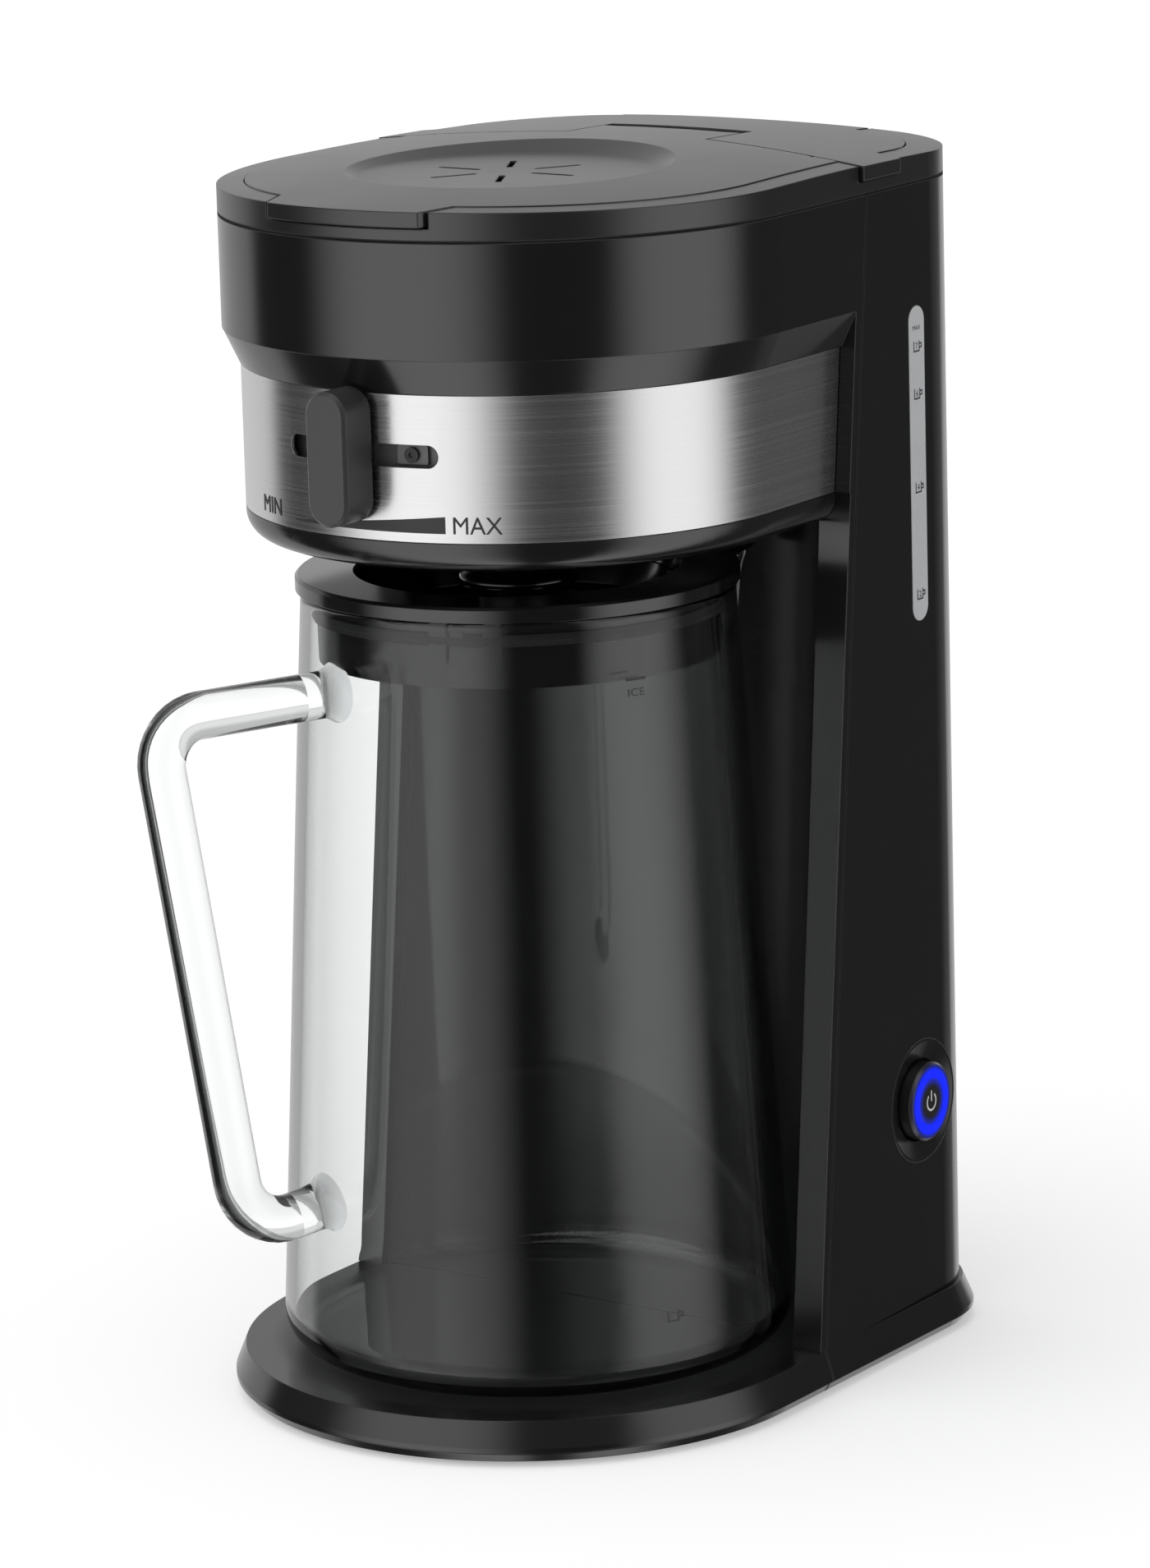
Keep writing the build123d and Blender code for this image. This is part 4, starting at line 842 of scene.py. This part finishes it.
def makeGlassPrint():
    g = glassPrint
    line = drawPanel("iceLine", *g["line"], 8)
    layOn(line, onGlass, g["lift"], (alongArc(g["turn"], "glass"), g["lineHeight"]))
    word = drawWord("iceWord", "ICE", *g["word"])
    layOn(word, onGlass, g["lift"], (alongArc(g["turn"], "glass"), g["wordHeight"]))
    cup = drawCup("cupMark", g["cup"])
    layOn(cup, onGlass, g["lift"], (alongArc(g["cupTurn"], "glass"), g["cupHeight"]))
    finishPrint([line, word, cup], "glassMarks", "darkPrint", "pitcher")


# cups with their numbers beside the tank gauge, and the full mark over them
gaugePrint = {"y": 76.3, "lift": 0.14, "cup": 4.2, "cupShift": 0.3, "digit": 1.7,
              "digitShift": (-0.12, 0.2), "fullHeight": 272.6, "full": (1.15, 3.8),
              "levels": ((267.6, "7"), (255.2, "6"), (230.6, "4"), (202.4, "2"))}


def makeGaugePrint():
    g = gaugePrint
    across, up = g["digitShift"]
    parts = []
    for height, number in g["levels"]:
        cup = drawCup("cup" + number, g["cup"])
        layOn(cup, onSide, g["lift"], (g["y"] + g["cupShift"], height))
        digit = drawWord("digit" + number, number, g["digit"])
        layOn(digit, onSide, g["lift"], (g["y"] + across, height + up))
        parts += [cup, digit]
    full = drawWord("gaugeFull", "MAX", *g["full"])
    layOn(full, onSide, g["lift"], (g["y"], g["fullHeight"]))
    parts.append(full)
    finishPrint(parts, "gaugeMarks", "darkPrint", "housing")


# ring, open at the top, and upright bar on the button
powerSign = {"y": 73.6, "z": 66.2, "radius": 2.55, "line": 0.55, "gap": 38, "bar": 2.9, "barRise": 0.62,
             "proud": 2.62}


def makePowerSign():
    p = powerSign
    deselectAll()
    bpy.ops.mesh.primitive_circle_add(vertices=72, radius=p["radius"])
    ring = bpy.context.object
    bpy.ops.object.mode_set(mode="EDIT")
    bpy.ops.mesh.select_all(action="SELECT")
    bpy.ops.mesh.extrude_edges_move()
    bpy.ops.transform.resize(value=((p["radius"] - p["line"]) / p["radius"],) * 3)
    bpy.ops.object.mode_set(mode="OBJECT")
    for face in ring.data.polygons:
        c = face.center
        face.select = abs(math.degrees(math.atan2(c.x, c.y))) < p["gap"]
    bpy.ops.object.mode_set(mode="EDIT")
    bpy.ops.mesh.select_mode(type="FACE")
    bpy.ops.mesh.delete(type="FACE")
    bpy.ops.object.mode_set(mode="OBJECT")
    stroke = drawPanel("powerBar", p["line"], p["bar"])
    layOn(stroke, onSide, p["proud"], (p["y"], p["z"] + p["radius"] * p["barRise"]))
    layOn(ring, onSide, p["proud"], (p["y"], p["z"]))
    finishPrint([ring, stroke], "powerSign", "whitePrint", "power_button")


makeBandPrint()
makeGlassPrint()
makeGaugePrint()
makePowerSign()
print("stage: marks printed")

# two locating ribs and a clip on the pitcher lid's skirt, seen through the glass
# clip: turn, height and size; the rounds are shares of the narrow side
skirt = {"ribs": (13.4, 28.7), "low": 200.6, "high": 212.0, "wide": 4.6, "deep": 0.9,
         "clip": (18.8, 208.0, 3.4), "ribRound": 0.48, "clipRound": 0.12}


def makeSkirtRibs():
    parts = []
    middle, tall = (skirt["low"] + skirt["high"]) / 2, skirt["high"] - skirt["low"]
    turn, height, size = skirt["clip"]
    marks = [(rib, middle, skirt["wide"], tall, skirt["ribRound"]) for rib in skirt["ribs"]]
    marks.append((turn, height, size, size, skirt["clipRound"]))
    for turn, height, wide, tall, rounding in marks:
        deselectAll()
        bpy.ops.mesh.primitive_cube_add(size=1)
        rib = bpy.context.object
        for v in rib.data.vertices:
            v.co = (v.co.x * wide, v.co.y * tall, (v.co.z + 0.5) * skirt["deep"])
        bpy.ops.object.mode_set(mode="EDIT")
        bpy.ops.mesh.select_all(action="DESELECT")
        bpy.ops.object.mode_set(mode="OBJECT")
        for edge in rib.data.edges:
            a, b = (rib.data.vertices[i].co for i in edge.vertices)
            edge.select = abs(a.z - b.z) > 0.1
        bpy.ops.object.mode_set(mode="EDIT")
        bpy.ops.mesh.select_mode(type="EDGE")
        bpy.ops.mesh.bevel(offset=min(wide, tall) * rounding, segments=5)
        bpy.ops.object.mode_set(mode="OBJECT")
        layOn(rib, onSkirt, 0, (alongArc(turn, "skirt"), height))
        parts.append(rib)
    finishPrint(parts, "skirtRibs", "pitcherLidBlack", "pitcher")


makeSkirtRibs()
print("stage: lid skirt fitted")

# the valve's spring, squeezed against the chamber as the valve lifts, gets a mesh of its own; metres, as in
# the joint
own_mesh(nodes["drip_spring"])
print("stage: spring set")
